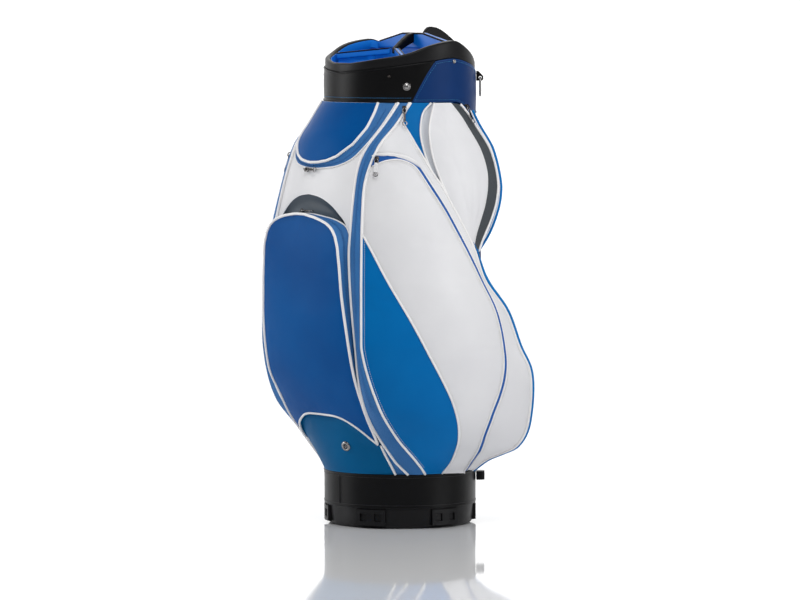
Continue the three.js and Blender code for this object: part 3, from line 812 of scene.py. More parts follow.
def leather(name, colour, shade, slot, roughness=(0.36, 0.5), coat=0.06, grain=620, strength=0.22,
            specular=0.3):
    finish = Finish(name)
    cloud = finish.noise(5.5, 4)
    base = finish.ramp(cloud, [(0.35, srgb(*shade)), (0.65, srgb(*colour))])
    pale = tuple(min(255, c + 26) for c in colour)
    finish.set(Base_Color=finish.worn(base, srgb(*pale)))
    cells = finish.node("TexVoronoi", {"Vector": finish.place(), "Scale": grain},
                        feature="DISTANCE_TO_EDGE")
    grain_height = finish.math("MINIMUM", cells, 0.22)
    fine = finish.math("MULTIPLY_ADD", finish.noise(1800, 2), 0.12, grain_height)
    finish.bump(fine, strength, 0.0006)
    finish.patchy_roughness(38, 3, roughness)
    finish.set(Coat_Weight=coat, Coat_Roughness=0.3, Specular_IOR_Level=specular)
    return finish.material, slot


def nylon(name, colour, shade, slot, rib=0.0021):
    """Ribbed webbing: lengthwise ribs, crossed by a fine weft."""
    finish = Finish(name)
    ribs = finish.waves(finish.flow("X"), rib)
    weft = finish.waves(finish.flow("Y"), 0.0009)
    weave = finish.math("MULTIPLY_ADD", weft, 0.25, finish.math("MULTIPLY", ribs, 0.75))
    cloud = finish.math("MULTIPLY_ADD", finish.noise(30, 4), 0.3, weave)
    finish.set(Base_Color=finish.ramp(cloud, [(0.2, srgb(*shade)), (0.95, srgb(*colour))]))
    finish.bump(weave, 0.35, 0.0005)
    finish.set(Roughness=0.6, Sheen_Weight=0.08, Sheen_Roughness=0.4, Specular_IOR_Level=0.2)
    return finish.material, slot


def mesh_cloth(name, colour, hole, slot, pitch=0.0022):
    """Open mesh: staggered round holes in a knitted ground."""
    finish = Finish(name)
    across, along = finish.flow("X"), finish.flow("Y")
    first = finish.math("MULTIPLY", finish.waves(across, pitch), finish.waves(along, pitch))
    shifted = finish.math("ADD", across, pitch / 2), finish.math("ADD", along, pitch / 2)
    second = finish.math("MULTIPLY", finish.waves(shifted[0], pitch), finish.waves(shifted[1], pitch))
    dots = finish.math("MAXIMUM", first, second)
    finish.set(Base_Color=finish.ramp(dots, [(0.45, srgb(*colour)), (0.75, srgb(*hole))]))
    finish.bump(dots, -0.4, 0.0005)
    finish.set(Roughness=0.75, Sheen_Weight=0.05, Specular_IOR_Level=0.2)
    return finish.material, slot


def moulded(name, colour, slot, roughness=(0.34, 0.48)):
    finish = Finish(name)
    cloud = finish.noise(14, 4)
    lighter = tuple(c + 5 for c in colour)
    base = finish.ramp(cloud, [(0.4, srgb(*colour)), (0.7, srgb(*lighter))])
    scuffed = finish.worn(base, srgb(*(c + 24 for c in colour)))
    finish.set(Base_Color=scuffed)
    finish.bump(finish.noise(1500, 3), 0.12, 0.0003)
    finish.set(Specular_IOR_Level=0.2)
    finish.patchy_roughness(60, 3, roughness)
    return finish.material, slot


def metal(name, colour, slot, roughness=(0.12, 0.26)):
    finish = Finish(name)
    shade = srgb(*(c * 0.85 for c in colour))
    finish.set(Base_Color=finish.ramp(finish.noise(90, 3), [(0.3, shade), (0.7, srgb(*colour))]))
    finish.set(Metallic=1.0)
    finish.patchy_roughness(240, 4, roughness)
    finish.bump(finish.noise(900, 2), 0.05, 0.0002)
    return finish.material, slot


def felt(name, colour, shade, slot):
    finish = Finish(name)
    fuzz = finish.noise(700, 5)
    finish.set(Base_Color=finish.ramp(fuzz, [(0.3, srgb(*shade)), (0.7, srgb(*colour))]))
    finish.bump(fuzz, 0.5, 0.0008)
    finish.set(Roughness=0.85, Sheen_Weight=0.5, Sheen_Roughness=0.5)
    return finish.material, slot


def thread(name, colour, slot):
    finish = Finish(name)
    twist = finish.noise(2600, 2)
    shade = srgb(*(c * 0.8 for c in colour))
    finish.set(Base_Color=finish.ramp(twist, [(0.3, shade), (0.7, srgb(*colour))]))
    finish.bump(twist, 0.4, 0.0003)
    finish.set(Roughness=0.55)
    return finish.material, slot


WHITE = leather("white_leather", (226, 226, 228), (218, 218, 221), "white_leather")
BLUE = leather("blue_leather", (0, 110, 180), (0, 102, 170), "blue_leather", specular=0.07, coat=0)
# The same blue leather as BLUE, made darker for the front-facing ball and accessory pockets: painted shade,
# since the bag's front gets less light.
SHADED_BLUE = leather("blue_leather_painted_front_shade", (0, 82, 150), (0, 72, 138), "blue_leather", specular=0.06, coat=0)
# The same blue leather again, made darker for the lower front panel and the wall under the ball pocket:
# painted shade where the front turns down and under the pocket.
LOW_SHADED_BLUE = leather("teal_leather", (0, 94, 146), (0, 84, 132), "blue_leather", specular=0.05, coat=0)
BLACK = leather("black_leather", (8, 8, 10), (5, 5, 6), "black_leather", (0.3, 0.42), 0.02, 520, 0.35, 0.14)
NAVY = leather("navy_leather", (20, 58, 116), (14, 48, 98), "navy_leather", specular=0.08, coat=0)
PIPING = leather("piping", (240, 238, 238), (230, 228, 228), "piping", (0.3, 0.42), 0.3, 1100, 0.12)
GUSSET = nylon("gusset_nylon", (64, 124, 184), (26, 82, 142), "zip_tape")
TAPE = nylon("zip_tape", (30, 96, 172), (14, 72, 148), "zip_tape", 0.0012)
COIL = moulded("zip_coil", (40, 92, 156), "zip_tape")
GREY = mesh_cloth("grey_mesh", (70, 75, 80), (34, 38, 42), "grey_mesh")
HOOD = leather("grey_hood", (66, 78, 90), (50, 60, 70), "grey_mesh", (0.35, 0.5), specular=0.2)
SATIN = nylon("satin_gusset", (206, 208, 214), (168, 172, 180), "grey_mesh", 0.0014)
LINING = leather("lining", (14, 128, 232), (6, 114, 216), "lining", (0.3, 0.42), specular=0.45)
FOAM = felt("foam", (26, 26, 30), (14, 14, 16), "foam")
PLASTIC = moulded("base_plastic", (9, 9, 11), "base_plastic")
STEEL = metal("stay_metal", (170, 172, 176), "stay_metal", (0.3, 0.45))
CHROME = metal("chrome_metal", (156, 154, 154), "chrome_metal")
DARK = metal("dark_metal", (62, 58, 56), "dark_metal", (0.18, 0.32))
WHITE_THREAD = thread("white_thread", (236, 234, 232), "thread")
BLUE_THREAD = thread("blue_thread", (40, 130, 190), "thread")
BLACK_THREAD = thread("black_thread", (48, 48, 52), "thread")

# ---- Side pockets ------------------------------------------------------------------------------


def size_of(first, second, cell=CELL):
    """Columns and rows that fit a panel between two seams."""
    wide = max((first.on(side_surface)(k / 6) - second.on(side_surface)(k / 6)).length for k in range(7))
    return max(4, round(wide / MM / cell)), max(8, round(max(first.length, second.length) / cell))


COVER_RADIUS = 132
COVER_ANGLES = (100, 125.8)
WALL_TOP = 505
BAND_FOOT_TOP = 160
PAD_TOP = 734.4
BAND_BULGE = 4.5  # how far the side pocket's front band stands out between its seams


def side_panels():
    face_front = PATCH_LINE.then(rise(face_angle, PATCH_TOP + 2, 645))
    patch_front = rise(face_angle, BAND_TOP, PATCH_TOP - 1)
    shoulder_front = STRIPE_REAR_SIDE.then(rise(face_angle, 672, COLLAR_BOTTOM))
    cover_edges = [Seam([(angle, BAND_TOP), (angle, PAD_TOP)], smooth=False) for angle in COVER_ANGLES]
    band_foot = rise(lambda h: band_angle(h) - 0.2, BAND_TOP, BAND_FOOT_TOP)
    gusset = strip(LOWER_LINE.on(lower_surface), band_foot.on(by_height(band_radius)), 1)
    wall_line = rise(seam_angle, BAND_TOP, WALL_TOP)
    wall = strip(wall_line.on(by_height(seam_radius)), wall_line.on(lambda a, h: POCKET_BACK), -3)
    stuffed = [
        panel("side_face_right", between(face_front, STRIPE_FACE_SIDE, side_surface), WHITE,
              *size_of(face_front, STRIPE_FACE_SIDE), nodes=["side_pocket_right"]),
        panel("side_patch_right", between(patch_front, PATCH_LINE, side_surface), BLUE, 26, 62),
        panel("side_shoulder_right", between(shoulder_front, REAR_LINE, side_surface), WHITE, 18, 96),
    ]
    flat = [
        panel("side_band_right", between(BAND_LINE, FACE_LINE, side_surface,
                                         lambda u, v: BAND_BULGE * crown(u) - 0.4), GUSSET, 8, 120),
        panel("side_zip_right", between(STRIPE_FACE_SIDE, STRIPE_REAR_SIDE, side_surface,
                                        lambda u, v: 0.5 + 0.7 * abs(2 * u - 1)), TAPE, 6, 150),
        panel("body_cover_right", between(*cover_edges, lambda a, h: COVER_RADIUS), BLUE, 8, 60),
        panel("lower_gusset_right", gusset, GUSSET, 5, 14),
        panel("side_wall_right", wall, BLUE, 12, 70),
    ]
    return stuffed, flat


LEAF_FOOT = 495
LEAF_TOP = 756
UPPER_FOOT = 594
LEAF_CHANNELS = (0.35, 0.56, 0.78)
CHANNEL_HALF = 0.02  # how far from a channel's line a panel is sewn down, as a share of its width


def leaf_panels():
    def quilted(u, v):
        return any(abs(u - channel) < CHANNEL_HALF for channel in LEAF_CHANNELS) and 0.2 < v < 0.9

    leaf_face = panel("leaf_face_right", between(LEAF_LINE, GREY_INNER, leaf_surface,
                                                 lambda u, v: -0.5 if quilted(u, v) else 0),
                      WHITE, 23, 42, held=quilted, nodes=["leaf_pocket_right"])
    upper_front = rise(lambda h: seam_angle(h) + 0.4, UPPER_FOOT, COLLAR_BOTTOM)
    upper = panel("upper_panel_right_cover", between(upper_front, CRESCENT_LINE, upper_surface),
                  BLUE, 5, 30, nodes=["upper_panel_right"])
    crescent_inner = rise(leaf_left_angle, UPPER_FOOT, LEAF_TOP)
    foot_ends = (leaf_left_angle(LEAF_FOOT), leaf_rear_angle(LEAF_FOOT))
    foot_line = Seam([(angle, LEAF_FOOT) for angle in foot_ends], smooth=False)
    flat = [
        upper,
        panel("leaf_gusset_right", strip(CRESCENT_LINE.on(upper_surface, 0.4),
                                         crescent_inner.on(leaf_surface), 3.5), SATIN, 8, 36),
        panel("leaf_grey_right", between(GREY_INNER, GREY_OUTER, leaf_surface, lambda u, v: -1.6 * crown(u)),
              GREY, 8, 50),
        panel("leaf_edge_right", between(GREY_OUTER, LEAF_REAR_LINE, leaf_surface), BLUE, 6, 50),
        panel("leaf_wall_right", strip(LEAF_REAR_LINE.on(leaf_surface),
                                       LEAF_REAR_LINE.on(lambda a, h: POCKET_BACK), -2), BLUE, 8, 40),
        panel("leaf_foot_right", strip(foot_line.on(leaf_surface), foot_line.on(lambda a, h: POCKET_BACK)),
              BLUE, 8, 16),
    ]
    return [leaf_face], flat


# ---- Front -------------------------------------------------------------------------------------


ARCH_HALF = 30  # degrees from the middle plane to the end of the arch
BALL_HALF = 40  # degrees from the middle plane to the ball pocket's lower corner
LOWER_GAP = 1.5
BIB_MARGIN = 9
BIB_MARGIN_AT_COLLAR = 14


def arch_at(share):
    return arch_height(abs(share) * ARCH_HALF)


def ball_bottom_at(share):
    return ball_bottom(abs(share) * BALL_HALF)


def ball_foot(surface, edge_angle, drop):
    """The ball pocket's bottom edge in space, on the pocket or, a little lower, on the panel under it."""
    def point(share):
        across = lerp(-1, 1, share)
        height = ball_bottom_at(across) - drop
        angle = across * edge_angle(height)
        return at(angle, surface(angle, height), height)
    return point


def front_panels():
    def bib_place(u, v):
        share = lerp(-1, 1, u)
        height = lerp(arch_at(share), COLLAR_BOTTOM, v)
        angle = share * band_angle(height)
        return at(angle, bib_surface(angle, height), height)

    def under_accessory(u, v):
        """The bib is sewn down under the accessory pocket, and further out near the collar."""
        share = abs(lerp(-1, 1, u))
        height = lerp(arch_at(share), COLLAR_BOTTOM, v)
        margin = BIB_MARGIN_AT_COLLAR if height > 700 else BIB_MARGIN
        return height > 627 and share * band_angle(height) < accessory_edge(height + 14) + margin

    def ball_place(u, v):
        share = lerp(-1, 1, u)
        height = lerp(ball_bottom_at(share), BALL_TOP, v)
        angle = share * ball_angle(height)
        return at(angle, ball_surface(angle, height), height)

    def accessory_place(u, v):
        height = lerp(ACCESSORY_FOOT, ACCESSORY_TOP, v)
        angle = lerp(-1, 1, u) * accessory_edge(height)
        return at(angle, accessory_surface(angle, height), height)

    def lower_place(u, v):
        share = lerp(-1, 1, u)
        height = lerp(BAND_TOP, ball_bottom_at(share) - LOWER_GAP, v)
        angle = share * lower_edge(height)
        return at(angle, lower_surface(angle, height), height)

    stuffed = [
        panel("bib_cover", bib_place, WHITE, 36, 34, held=under_accessory, nodes=["front_bib"]),
        # The ball and accessory faces are in the darker copy of the blue leather: painted shade.
        panel("ball_face", ball_place, SHADED_BLUE, 42, 58, nodes=["ball_pocket"]),
        panel("accessory_face", accessory_place, SHADED_BLUE, 26, 18, nodes=["accessory_pocket"]),
        # The lower front panel is in a darker copy of the blue leather: painted shade.
        panel("lower_front_cover", lower_place, LOW_SHADED_BLUE, 34, 16, nodes=["lower_front_panel"]),
    ]
    gusset_edge = GUSSET_OUTLINE.on(by_height(gusset_radius))
    flat = [
        # The wall under the ball pocket is in the darker copy of the blue leather too: painted shade.
        panel("ball_foot_wall", strip(ball_foot(ball_surface, ball_angle, 0),
                                      ball_foot(lower_surface, lower_edge, LOWER_GAP)), LOW_SHADED_BLUE, 4, 60),
        panel("ball_gusset", strip(BALL_OUTLINE.on(ball_surface, -0.5), gusset_edge, 2.5), GUSSET, 6, 170),
        panel("ball_hood", strip(ARCH_OUTLINE.on(bib_surface, -0.6),
                                 lambda v: gusset_edge(lerp(0.383, 0.617, v)), 5), HOOD, 10, 60),
        panel("accessory_gusset", strip(ACCESSORY_OUTLINE.on(accessory_surface, -0.5),
                                        ACCESSORY_GUSSET.on(bib_surface, 1.2), 0.2), GUSSET, 6, 70),
    ]
    return stuffed, flat


# ---- Back pad ----------------------------------------------------------------------------------

PAD_EDGES = (125.4, 234.6)
PAD_CHANNELS = (0, 0.2, 0.4, 0.6, 0.8, 1)
PAD_PUFF = 5.5
PAD_GROOVE = 3.5


def back_panel():
    """The pad against the golfer's back, quilted in upright channels."""
    def near_channel(u):
        return min(abs(u - channel) for channel in PAD_CHANNELS)

    def place(u, v):
        height = lerp(BAND_TOP, PAD_TOP, v)
        puffed = min(1, near_channel(u) / 0.07)
        ends = min(1, v / 0.05, (1 - v) / 0.03)
        lift = PAD_PUFF * math.sqrt(max(0, 1 - (1 - puffed) ** 2)) * ends
        return at(lerp(*PAD_EDGES, u), pad_radius(height) - PAD_GROOVE + lift, height)

    return panel("back_pad_cover", place, NAVY, 60, 84, held=lambda u, v: near_channel(u) < CHANNEL_HALF,
                 nodes=["back_pad"], thick=3)


stuffed, flat = [], []
for made in (side_panels(), leaf_panels(), front_panels(), ([back_panel()], [])):
    stuffed += made[0]
    flat += made[1]
fill_panels(stuffed)
for obj in stuffed + flat:
    soften_panel(obj)
for obj in stuffed + flat:
    if "_right" in obj.name:
        twin_obj = twin(obj)
        obj in stuffed
for obj in stuffed:
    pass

# ---- Piping, stitches and zip teeth ------------------------------------------------------------

PIPE = 2.3
SMALL_PIPE = 1.7
STRIPE_PIPE = 1.6
FINE_PIPE = 1.35


def right_piping():
    """The white piping along the right side's seams: each seam with its surface, its lift and its radius."""
    mesh = bmesh.new()
    cords = [
        (BAND_LINE, side_surface, 0.2, 2.6),
        (FACE_LINE, side_surface, 0.8, PIPE),
        (REAR_LINE, by_height(seam_radius), 0.6, PIPE),
        (LOWER_LINE, lower_surface, 1, PIPE),
        (PATCH_LINE, side_surface, 0.4, SMALL_PIPE),
        (STRIPE_FACE_SIDE, side_surface, 0.7, STRIPE_PIPE),
        (STRIPE_REAR_SIDE, side_surface, 0.7, STRIPE_PIPE),
        (CRESCENT_LINE, upper_surface, 0.8, SMALL_PIPE),
        (rise(leaf_left_angle, UPPER_FOOT + 2, LEAF_TOP), leaf_surface, 0.7, SMALL_PIPE),
        (GREY_OUTER, leaf_surface, 0.6, PIPE),
        (LEAF_REAR_LINE, leaf_surface, 0.3, FINE_PIPE),
    ]
    for line, surface, lift, radius in cords:
        cord_of(mesh, line.on(surface, lift), radius)
    return piece("piping_right", mesh, PIPING)


def rear_welt(line, surface):
    """A place along the rolled edge behind a rear seam."""
    def point(share):
        angle, height = line(share)
        radius = surface(angle, height)
        return at(angle + math.degrees(4.5 / radius), radius + 2, height)
    return point


def right_welts():
    """The side pockets' blue rear walls roll out past their white piping."""
    mesh = bmesh.new()
    ends = [min(1, 0.1 + (130 - k) / 25) for k in range(131)]
    tube(mesh, sampled(rear_welt(REAR_LINE, by_height(seam_radius)), 130, 0, 0.6), 3.2, radii=ends)
    tube(mesh, sampled(rear_welt(LEAF_REAR_LINE, leaf_surface), 70), 2.6)
    return piece("rear_welts_right", mesh, BLUE)


def front_piping():
    mesh = bmesh.new()
    cord_of(mesh, BALL_OUTLINE.on(ball_surface, 0.5), 2.5)
    bottom = Seam([(share * ball_angle(ball_bottom_at(share)), ball_bottom_at(share))
                   for share in (k / 12 - 1 for k in range(25))])
    cord_of(mesh, bottom.on(ball_surface, -0.5), 2.2)
    cord_of(mesh, ACCESSORY_OUTLINE.on(accessory_surface, 0.5), 2.5)
    cord_of(mesh, ACCESSORY_GUSSET.on(bib_surface, 1), FINE_PIPE)
    cord_of(mesh, GUSSET_OUTLINE.on(by_height(gusset_radius), 1.6), FINE_PIPE, 0.3, 0.7)
    for edge in PAD_EDGES:
        back_edge = Seam([(edge, BAND_TOP), (edge, PAD_TOP)], smooth=False)
        cord_of(mesh, back_edge.on(lambda a, h: pad_radius(h) - 1.5), PIPE)
    return piece("piping_front", mesh, PIPING)


def right_stitching():
    def beside(line, distance):
        return line.offset(lambda share: distance)

    mesh = bmesh.new()
    for line, distance in ((FACE_LINE, 5), (REAR_LINE, -5.5), (STRIPE_FACE_SIDE, -4), (STRIPE_REAR_SIDE, 4),
                           (PATCH_LINE, 4.5)):
        stitches(mesh, beside(line, distance).on(side_surface, 0.5), 0.02, 0.98)
    stitches(mesh, beside(GREY_INNER, -3.5).on(leaf_surface, 0.4), 0.03, 0.97)
    return piece("stitching_right", mesh, WHITE_THREAD)


def band_zip():
    """The coil of the long zip down the middle of the side pocket's front band."""
    mesh = bmesh.new()
    middle = Seam([(lerp(band_angle(h), face_angle(h), 0.5), h) for h in range(110, 750, 10)], smooth=False)
    line = middle.on(side_surface, BAND_BULGE)
    zip_teeth(mesh, line, lambda share: at(middle(share)[0] + 90, 1000, 0), 0.2)
    return piece("band_zip_right", mesh, COIL)


def front_zips():
    mesh = bmesh.new()
    ball_inner = BALL_OUTLINE.on(ball_surface)
    ball_outer = GUSSET_OUTLINE.on(by_height(gusset_radius))

    def ball_line(share):
        point = ball_inner(share).lerp(ball_outer(share), 0.5)
        return point - Vector((point.x, point.y, 0)).normalized() * 1.4 * MM

    def ball_aside(share):
        return (ball_outer(share) - ball_inner(share)).normalized()

    zip_teeth(mesh, ball_line, ball_aside, 0.06, 0.94)
    inner = ACCESSORY_OUTLINE.on(accessory_surface)
    outer = ACCESSORY_GUSSET.on(bib_surface, 1.4)

    def pocket_line(share):
        return inner(share).lerp(outer(share), 0.6)

    zip_teeth(mesh, pocket_line, lambda share: (outer(share) - inner(share)).normalized(), 0.03, 0.97)
    return piece("front_zips", mesh, COIL)


for made in (right_piping(), right_welts(), right_stitching(), band_zip()):
    twin(made)
front_piping()
front_zips()

# ---- Base --------------------------------------------------------------------------------------

LUG_MIDDLES = (30, 90, 150, 210, 270, 330)
LUG_HALF = 12  # degrees either side of a lug's middle
POCKET_SPAN = (3.5, 8.5)  # degrees from a lug's middle to a pocket's sides
LUG_RADIUS = 136.3
POCKET_RADIUS = 133.4
CUP_RADIUS = 132
EASE = 0.3


def base_cup():
    """The moulded foot with its six lugs, each with two square pockets."""
    offsets = []
    for edge in (*POCKET_SPAN, LUG_HALF):
        offsets += [side * edge + ease for side in (-1, 1) for ease in (-EASE / 2, EASE / 2)]
    angles = sorted({middle + offset for middle in LUG_MIDDLES for offset in offsets}
                    | {a for a in full_turn(3) if min(fold(a - m) for m in LUG_MIDDLES) > LUG_HALF + 1})

    def outline(angle):
        turn = min((angle - middle + 540) % 360 - 180 for middle in LUG_MIDDLES
                   if abs((angle - middle + 540) % 360 - 180) <= 30.001)
        on_lug = abs(turn) < LUG_HALF
        in_pocket = POCKET_SPAN[0] < abs(turn) < POCKET_SPAN[1]
        wall = through([[0, 125], [4, 129], [34, CUP_RADIUS]])
        section = [(0, 0), (122, 0), (125, 0.4), (128.2, 2.4)]
        for height in (4, 5, 5.6, 12.7, 13.3, 25.7, 26.3, 33.4, 34):
            radius = wall(height)
            if on_lug and 5 < height < 34:
                radius = LUG_RADIUS
            if in_pocket and 13 < height < 26:
                radius = POCKET_RADIUS
            section.append((radius, height))
        inside = [(131, 96), (127.3, 96), (126.4, 95), (126.4, 6), (0, 6)]
        return section + [(CUP_RADIUS, 36), (CUP_RADIUS, 95)] + inside

    turned_piece("base_cup_moulding", outline, angles, PLASTIC, nodes=["base_cup"], sharp=35)


def base_band():
    def outline(angle):
        turn = math.radians(angle)
        swell = 0.35 * noise.noise(Vector((math.sin(turn) * 3, math.cos(turn) * 3, 0)))
        return rounded([(132.3, 36), (136.1, 36), (136.1, 39), (135.7 + swell, 43), (135.9 + swell, 90),
                        (136.3, 94), (136.3, 97), (132.3, 97)], 1.4)

    mesh = bmesh.new()
    turned(mesh, outline, full_turn(2))
    tube(mesh, sampled(lambda v: at(0.9, 136, lerp(41, 93, v)), 10), 0.9, 8)
    tube(mesh, [at(a, 135.9, 95.6) for a in full_turn(3)], 1.6, 8, closed=True)
    piece("base_band_leather", mesh, BLACK, nodes=["base_band"])


def base_pad():
    """The soft floor that the clubs stand on, quilted in rings."""
    def outline(angle):
        top = [(radius, 12.6 + 1.4 * abs(math.sin(radius / 11))) for radius in range(114, 6, -6)]
        return [(0, 6.4), (119, 6.4), (121.4, 8), (121.4, 11.5), (119, 13.4)] + top + [(0, 14)]

    pad = turned_piece("base_pad_quilt", outline, full_turn(5), FOAM, nodes=["base_pad"])


def ring_line(radius, height, start=0, end=360):
    return lambda share: at(lerp(start, end, share), radius, height)


def base_stitching():
    mesh = bmesh.new()
    for height in (41.5, 91):
        stitches(mesh, ring_line(136.3, height))
    for angle in (-0.6, 2.4):
        stitches(mesh, lambda v: at(angle, 136.2, lerp(43, 90, v)))
    piece("base_stitching", mesh, BLACK_THREAD)


base_cup()
base_band()
base_pad()
base_stitching()

# ---- Collar, rim and dividers ------------------------------------------------------------------


def collar_covers():
    def front(u, v):
        angle = lerp(-1, 1, u) * collar_seam(v)
        radius = COLLAR_RADIUS - 0.4 + 1.0 * crown(v)
        return at(angle, radius, lerp(757.4, collar_top(abs(angle)), v))

    def rear(u, v):
        angle = lerp(collar_seam(v) + 0.3, 359.7 - collar_seam(v), u)
        radius = COLLAR_RADIUS - 0.4 + 0.8 * crown(v)
        return at(angle, radius, lerp(collar_rear_bottom(fold(angle)), collar_top(fold(angle)), v))

    covers = [panel("collar_front_cover", front, BLACK, 60, 9, nodes=["collar_front"], thick=3),
              panel("collar_rear_cover", rear, NAVY, 90, 11, nodes=["collar_rear"], thick=3)]
    for cover in covers:
        soften_panel(cover)


def collar_line(edge, lift, radius, start, end):
    """A line round the collar, a lift above its top or bottom edge. The edge is a function of the fold."""
    def point(share):
        angle = lerp(start, end, share)
        return at(angle, radius, edge(fold(angle)) + lift)
    return point


def collar_front_edges():
    hem = bmesh.new()
    cord_of(hem, ring_line(135.6, 759, -COLLAR_FRONT_HALF, COLLAR_FRONT_HALF), 2.4)
    cord_of(hem, collar_line(collar_top, -0.6, 135.4, -80, 80), 1.6)
    piece("collar_hem", hem, BLACK)
    thread_row = bmesh.new()
    stitches(thread_row, ring_line(136.2, 765, -COLLAR_FRONT_HALF, COLLAR_FRONT_HALF))
    piece("collar_stitching", thread_row, BLUE_THREAD)


def collar_rear_edges():
    def seam_line(sign):
        return lambda v: at(sign * (collar_seam(v) + 2), COLLAR_RADIUS + 0.5,
                            lerp(758, collar_top(collar_seam(v)) - 2, v))

    thread_rows = bmesh.new()
    for sign in (-1, 1):
        stitches(thread_rows, seam_line(sign))
    stitches(thread_rows, collar_line(collar_rear_bottom, 4.5, 136.1, 64, 296))
    stitches(thread_rows, collar_line(collar_top, -4.5, 136.1, 82, 278))
    piece("collar_rear_stitching", thread_rows, BLUE_THREAD)
    hem = bmesh.new()
    cord_of(hem, collar_line(collar_rear_bottom, 1.6, 135.4, 63, 297), 1.9)
    piece("collar_rear_hem", hem, NAVY)


MOUTH = {"centre": -14, "half_width": 117, "half_depth": 110}


def mouth_radius(angle):
    """Distance from the axis to the mouth's oval edge."""
    sin, cos = math.sin(math.radians(angle)), math.cos(math.radians(angle))
    a = (sin / MOUTH["half_width"]) ** 2 + (cos / MOUTH["half_depth"]) ** 2
    b = MOUTH["centre"] * cos / MOUTH["half_depth"] ** 2
    c = (MOUTH["centre"] / MOUTH["half_depth"]) ** 2 - 1
    return (-b + math.sqrt(b * b - a * c)) / a


RIM_SKIRT = 123.5
RIM_FOOT = 776


def top_rim():
    def outline(angle):
        top, lip, mouth = rim_top(fold(angle)), collar_top(fold(angle)) + 0.8, mouth_radius(angle)
        return rounded([(134, lip), (134, top - 2), (131, top), (mouth + 3, top), (mouth, top - 3),
                        (mouth, top - 15), (RIM_SKIRT, top - 26), (RIM_SKIRT, RIM_FOOT), (131, RIM_FOOT),
                        (131, lip)], 2.2)

    turned_piece("top_rim_moulding", outline, full_turn(2.5), PLASTIC, nodes=["top_rim"], sharp=40)


def mouth_lining():
    """Blue cloth on the inside of the rim, from just under its edge down to the tube."""
    def outline(angle):
        top, mouth = rim_top(fold(angle)), mouth_radius(angle)
        inner = [(mouth - 0.9, top - 2.6), (mouth - 0.9, top - 15.5), (RIM_SKIRT - 1, top - 27),
                 (RIM_SKIRT - 1, RIM_FOOT + 1)]
        return inner + [(radius + 0.8, height) for radius, height in inner[::-1]]

    turned_piece("mouth_lining", outline, full_turn(2.5), LINING, sharp=40)


def softened(name, node, finish, voxel, body="root", rounds=4):
    """A node's own shape with its edges rounded, as a wrapped or moulded part has them."""
    obj = add_object(name, frame["nodes"][node].data.copy())
    remesh = obj.modifiers.new("remesh", "REMESH")
    remesh.mode = "VOXEL"
    remesh.voxel_size = voxel * MM
    relax = obj.modifiers.new("relax", "SMOOTH")
    relax.iterations = rounds
    relax.factor = 0.6
    graph = bpy.context.evaluated_depsgraph_get()
    obj.data = bpy.data.meshes.new_from_object(obj.evaluated_get(graph))
    obj.modifiers.clear()
    obj.data.shade_smooth()
    return dress(obj, finish, body, [node])


CROSS_Y = 33
HUB_Y = -9
RIB_ANGLE = 55
RIB_HALF_WIDTH = 4
RIB_TOP_AT_HUB = 851
RIB_TOP_AT_RIM = 841
RIB_START = 11
CROSS_HALF = 98
SHEET_BOTTOM = 15


def dividers():
    for part in ("cap_cross", "hub", "rear_grip", "cap_right", "cap_left"):
        finish = LINING if part.startswith("cap") else BLACK
        cap = softened(f"{part}_wrap", f"divider_{part}", finish, 1.5)
    twin(front_rib_trim())
    cross_trim()


def front_rib_trim():
    """Black edging along the top corners of a front rib, which is covered in the lining's cloth."""
    hub = Vector((0, HUB_Y, RIB_TOP_AT_HUB)) * MM
    rim = at(RIB_ANGLE, mouth_radius(RIB_ANGLE) - 4, RIB_TOP_AT_RIM)
    along = (rim - hub).to_2d().normalized().to_3d()
    aside = Vector((-along.y, along.x, 0)) * RIB_HALF_WIDTH * MM
    mesh = bmesh.new()
    for side in (-1, 1):
        start = hub + along * RIB_START * MM + aside * side
        end = rim + aside * side
        tube(mesh, [start.lerp(end, k / 8) for k in range(9)], 1.1, 8)
    return piece("rib_trim_right", mesh, BLACK)


def cross_trim():
    """Black edging along the top corners of the cross divider, which rises to the hub."""
    mesh = bmesh.new()
    for side in (-1, 1):
        corners = [(-CROSS_HALF, 862), (-30, 876.6), (30, 876.6), (CROSS_HALF, 862)]
        path = [Vector((x, CROSS_Y + side * RIB_HALF_WIDTH, z)) * MM for x, z in corners]
        points = [a.lerp(b, k / 6) for a, b in zip(path, path[1:]) for k in range(6)] + [path[-1]]
        tube(mesh, points, 1.8, 8)
    piece("cross_trim", mesh, BLACK)


def divider_sheet(name, foot, wide_end, top_end, top, nodes):
    """A full-length cloth divider, held along its top by a cap. foot, wide_end and top_end are (x, y)
    places in mm: the upright edge at the hub, the outer edge in the tube and the outer edge at the mouth."""
    foot, wide_end, top_end = Vector(foot), Vector(wide_end), Vector(top_end)
    square = (wide_end - foot).orthogonal().normalized()

    def place(u, v):
        height = lerp(SHEET_BOTTOM, top, v)
        narrowing = min(1, max(0, (height - 770) / 30))
        flat_place = foot.lerp(wide_end.lerp(top_end, narrowing), u)
        slack = 1.6 * math.sin(math.pi * u) * noise.noise(Vector((u * 2.2, v * 7, top)))
        spot = flat_place + square * slack
        return Vector((spot.x, spot.y, height)) * MM

    sheet = panel(name, place, LINING, 8, 60, nodes=nodes, thick=1.4)
    soften_panel(sheet)


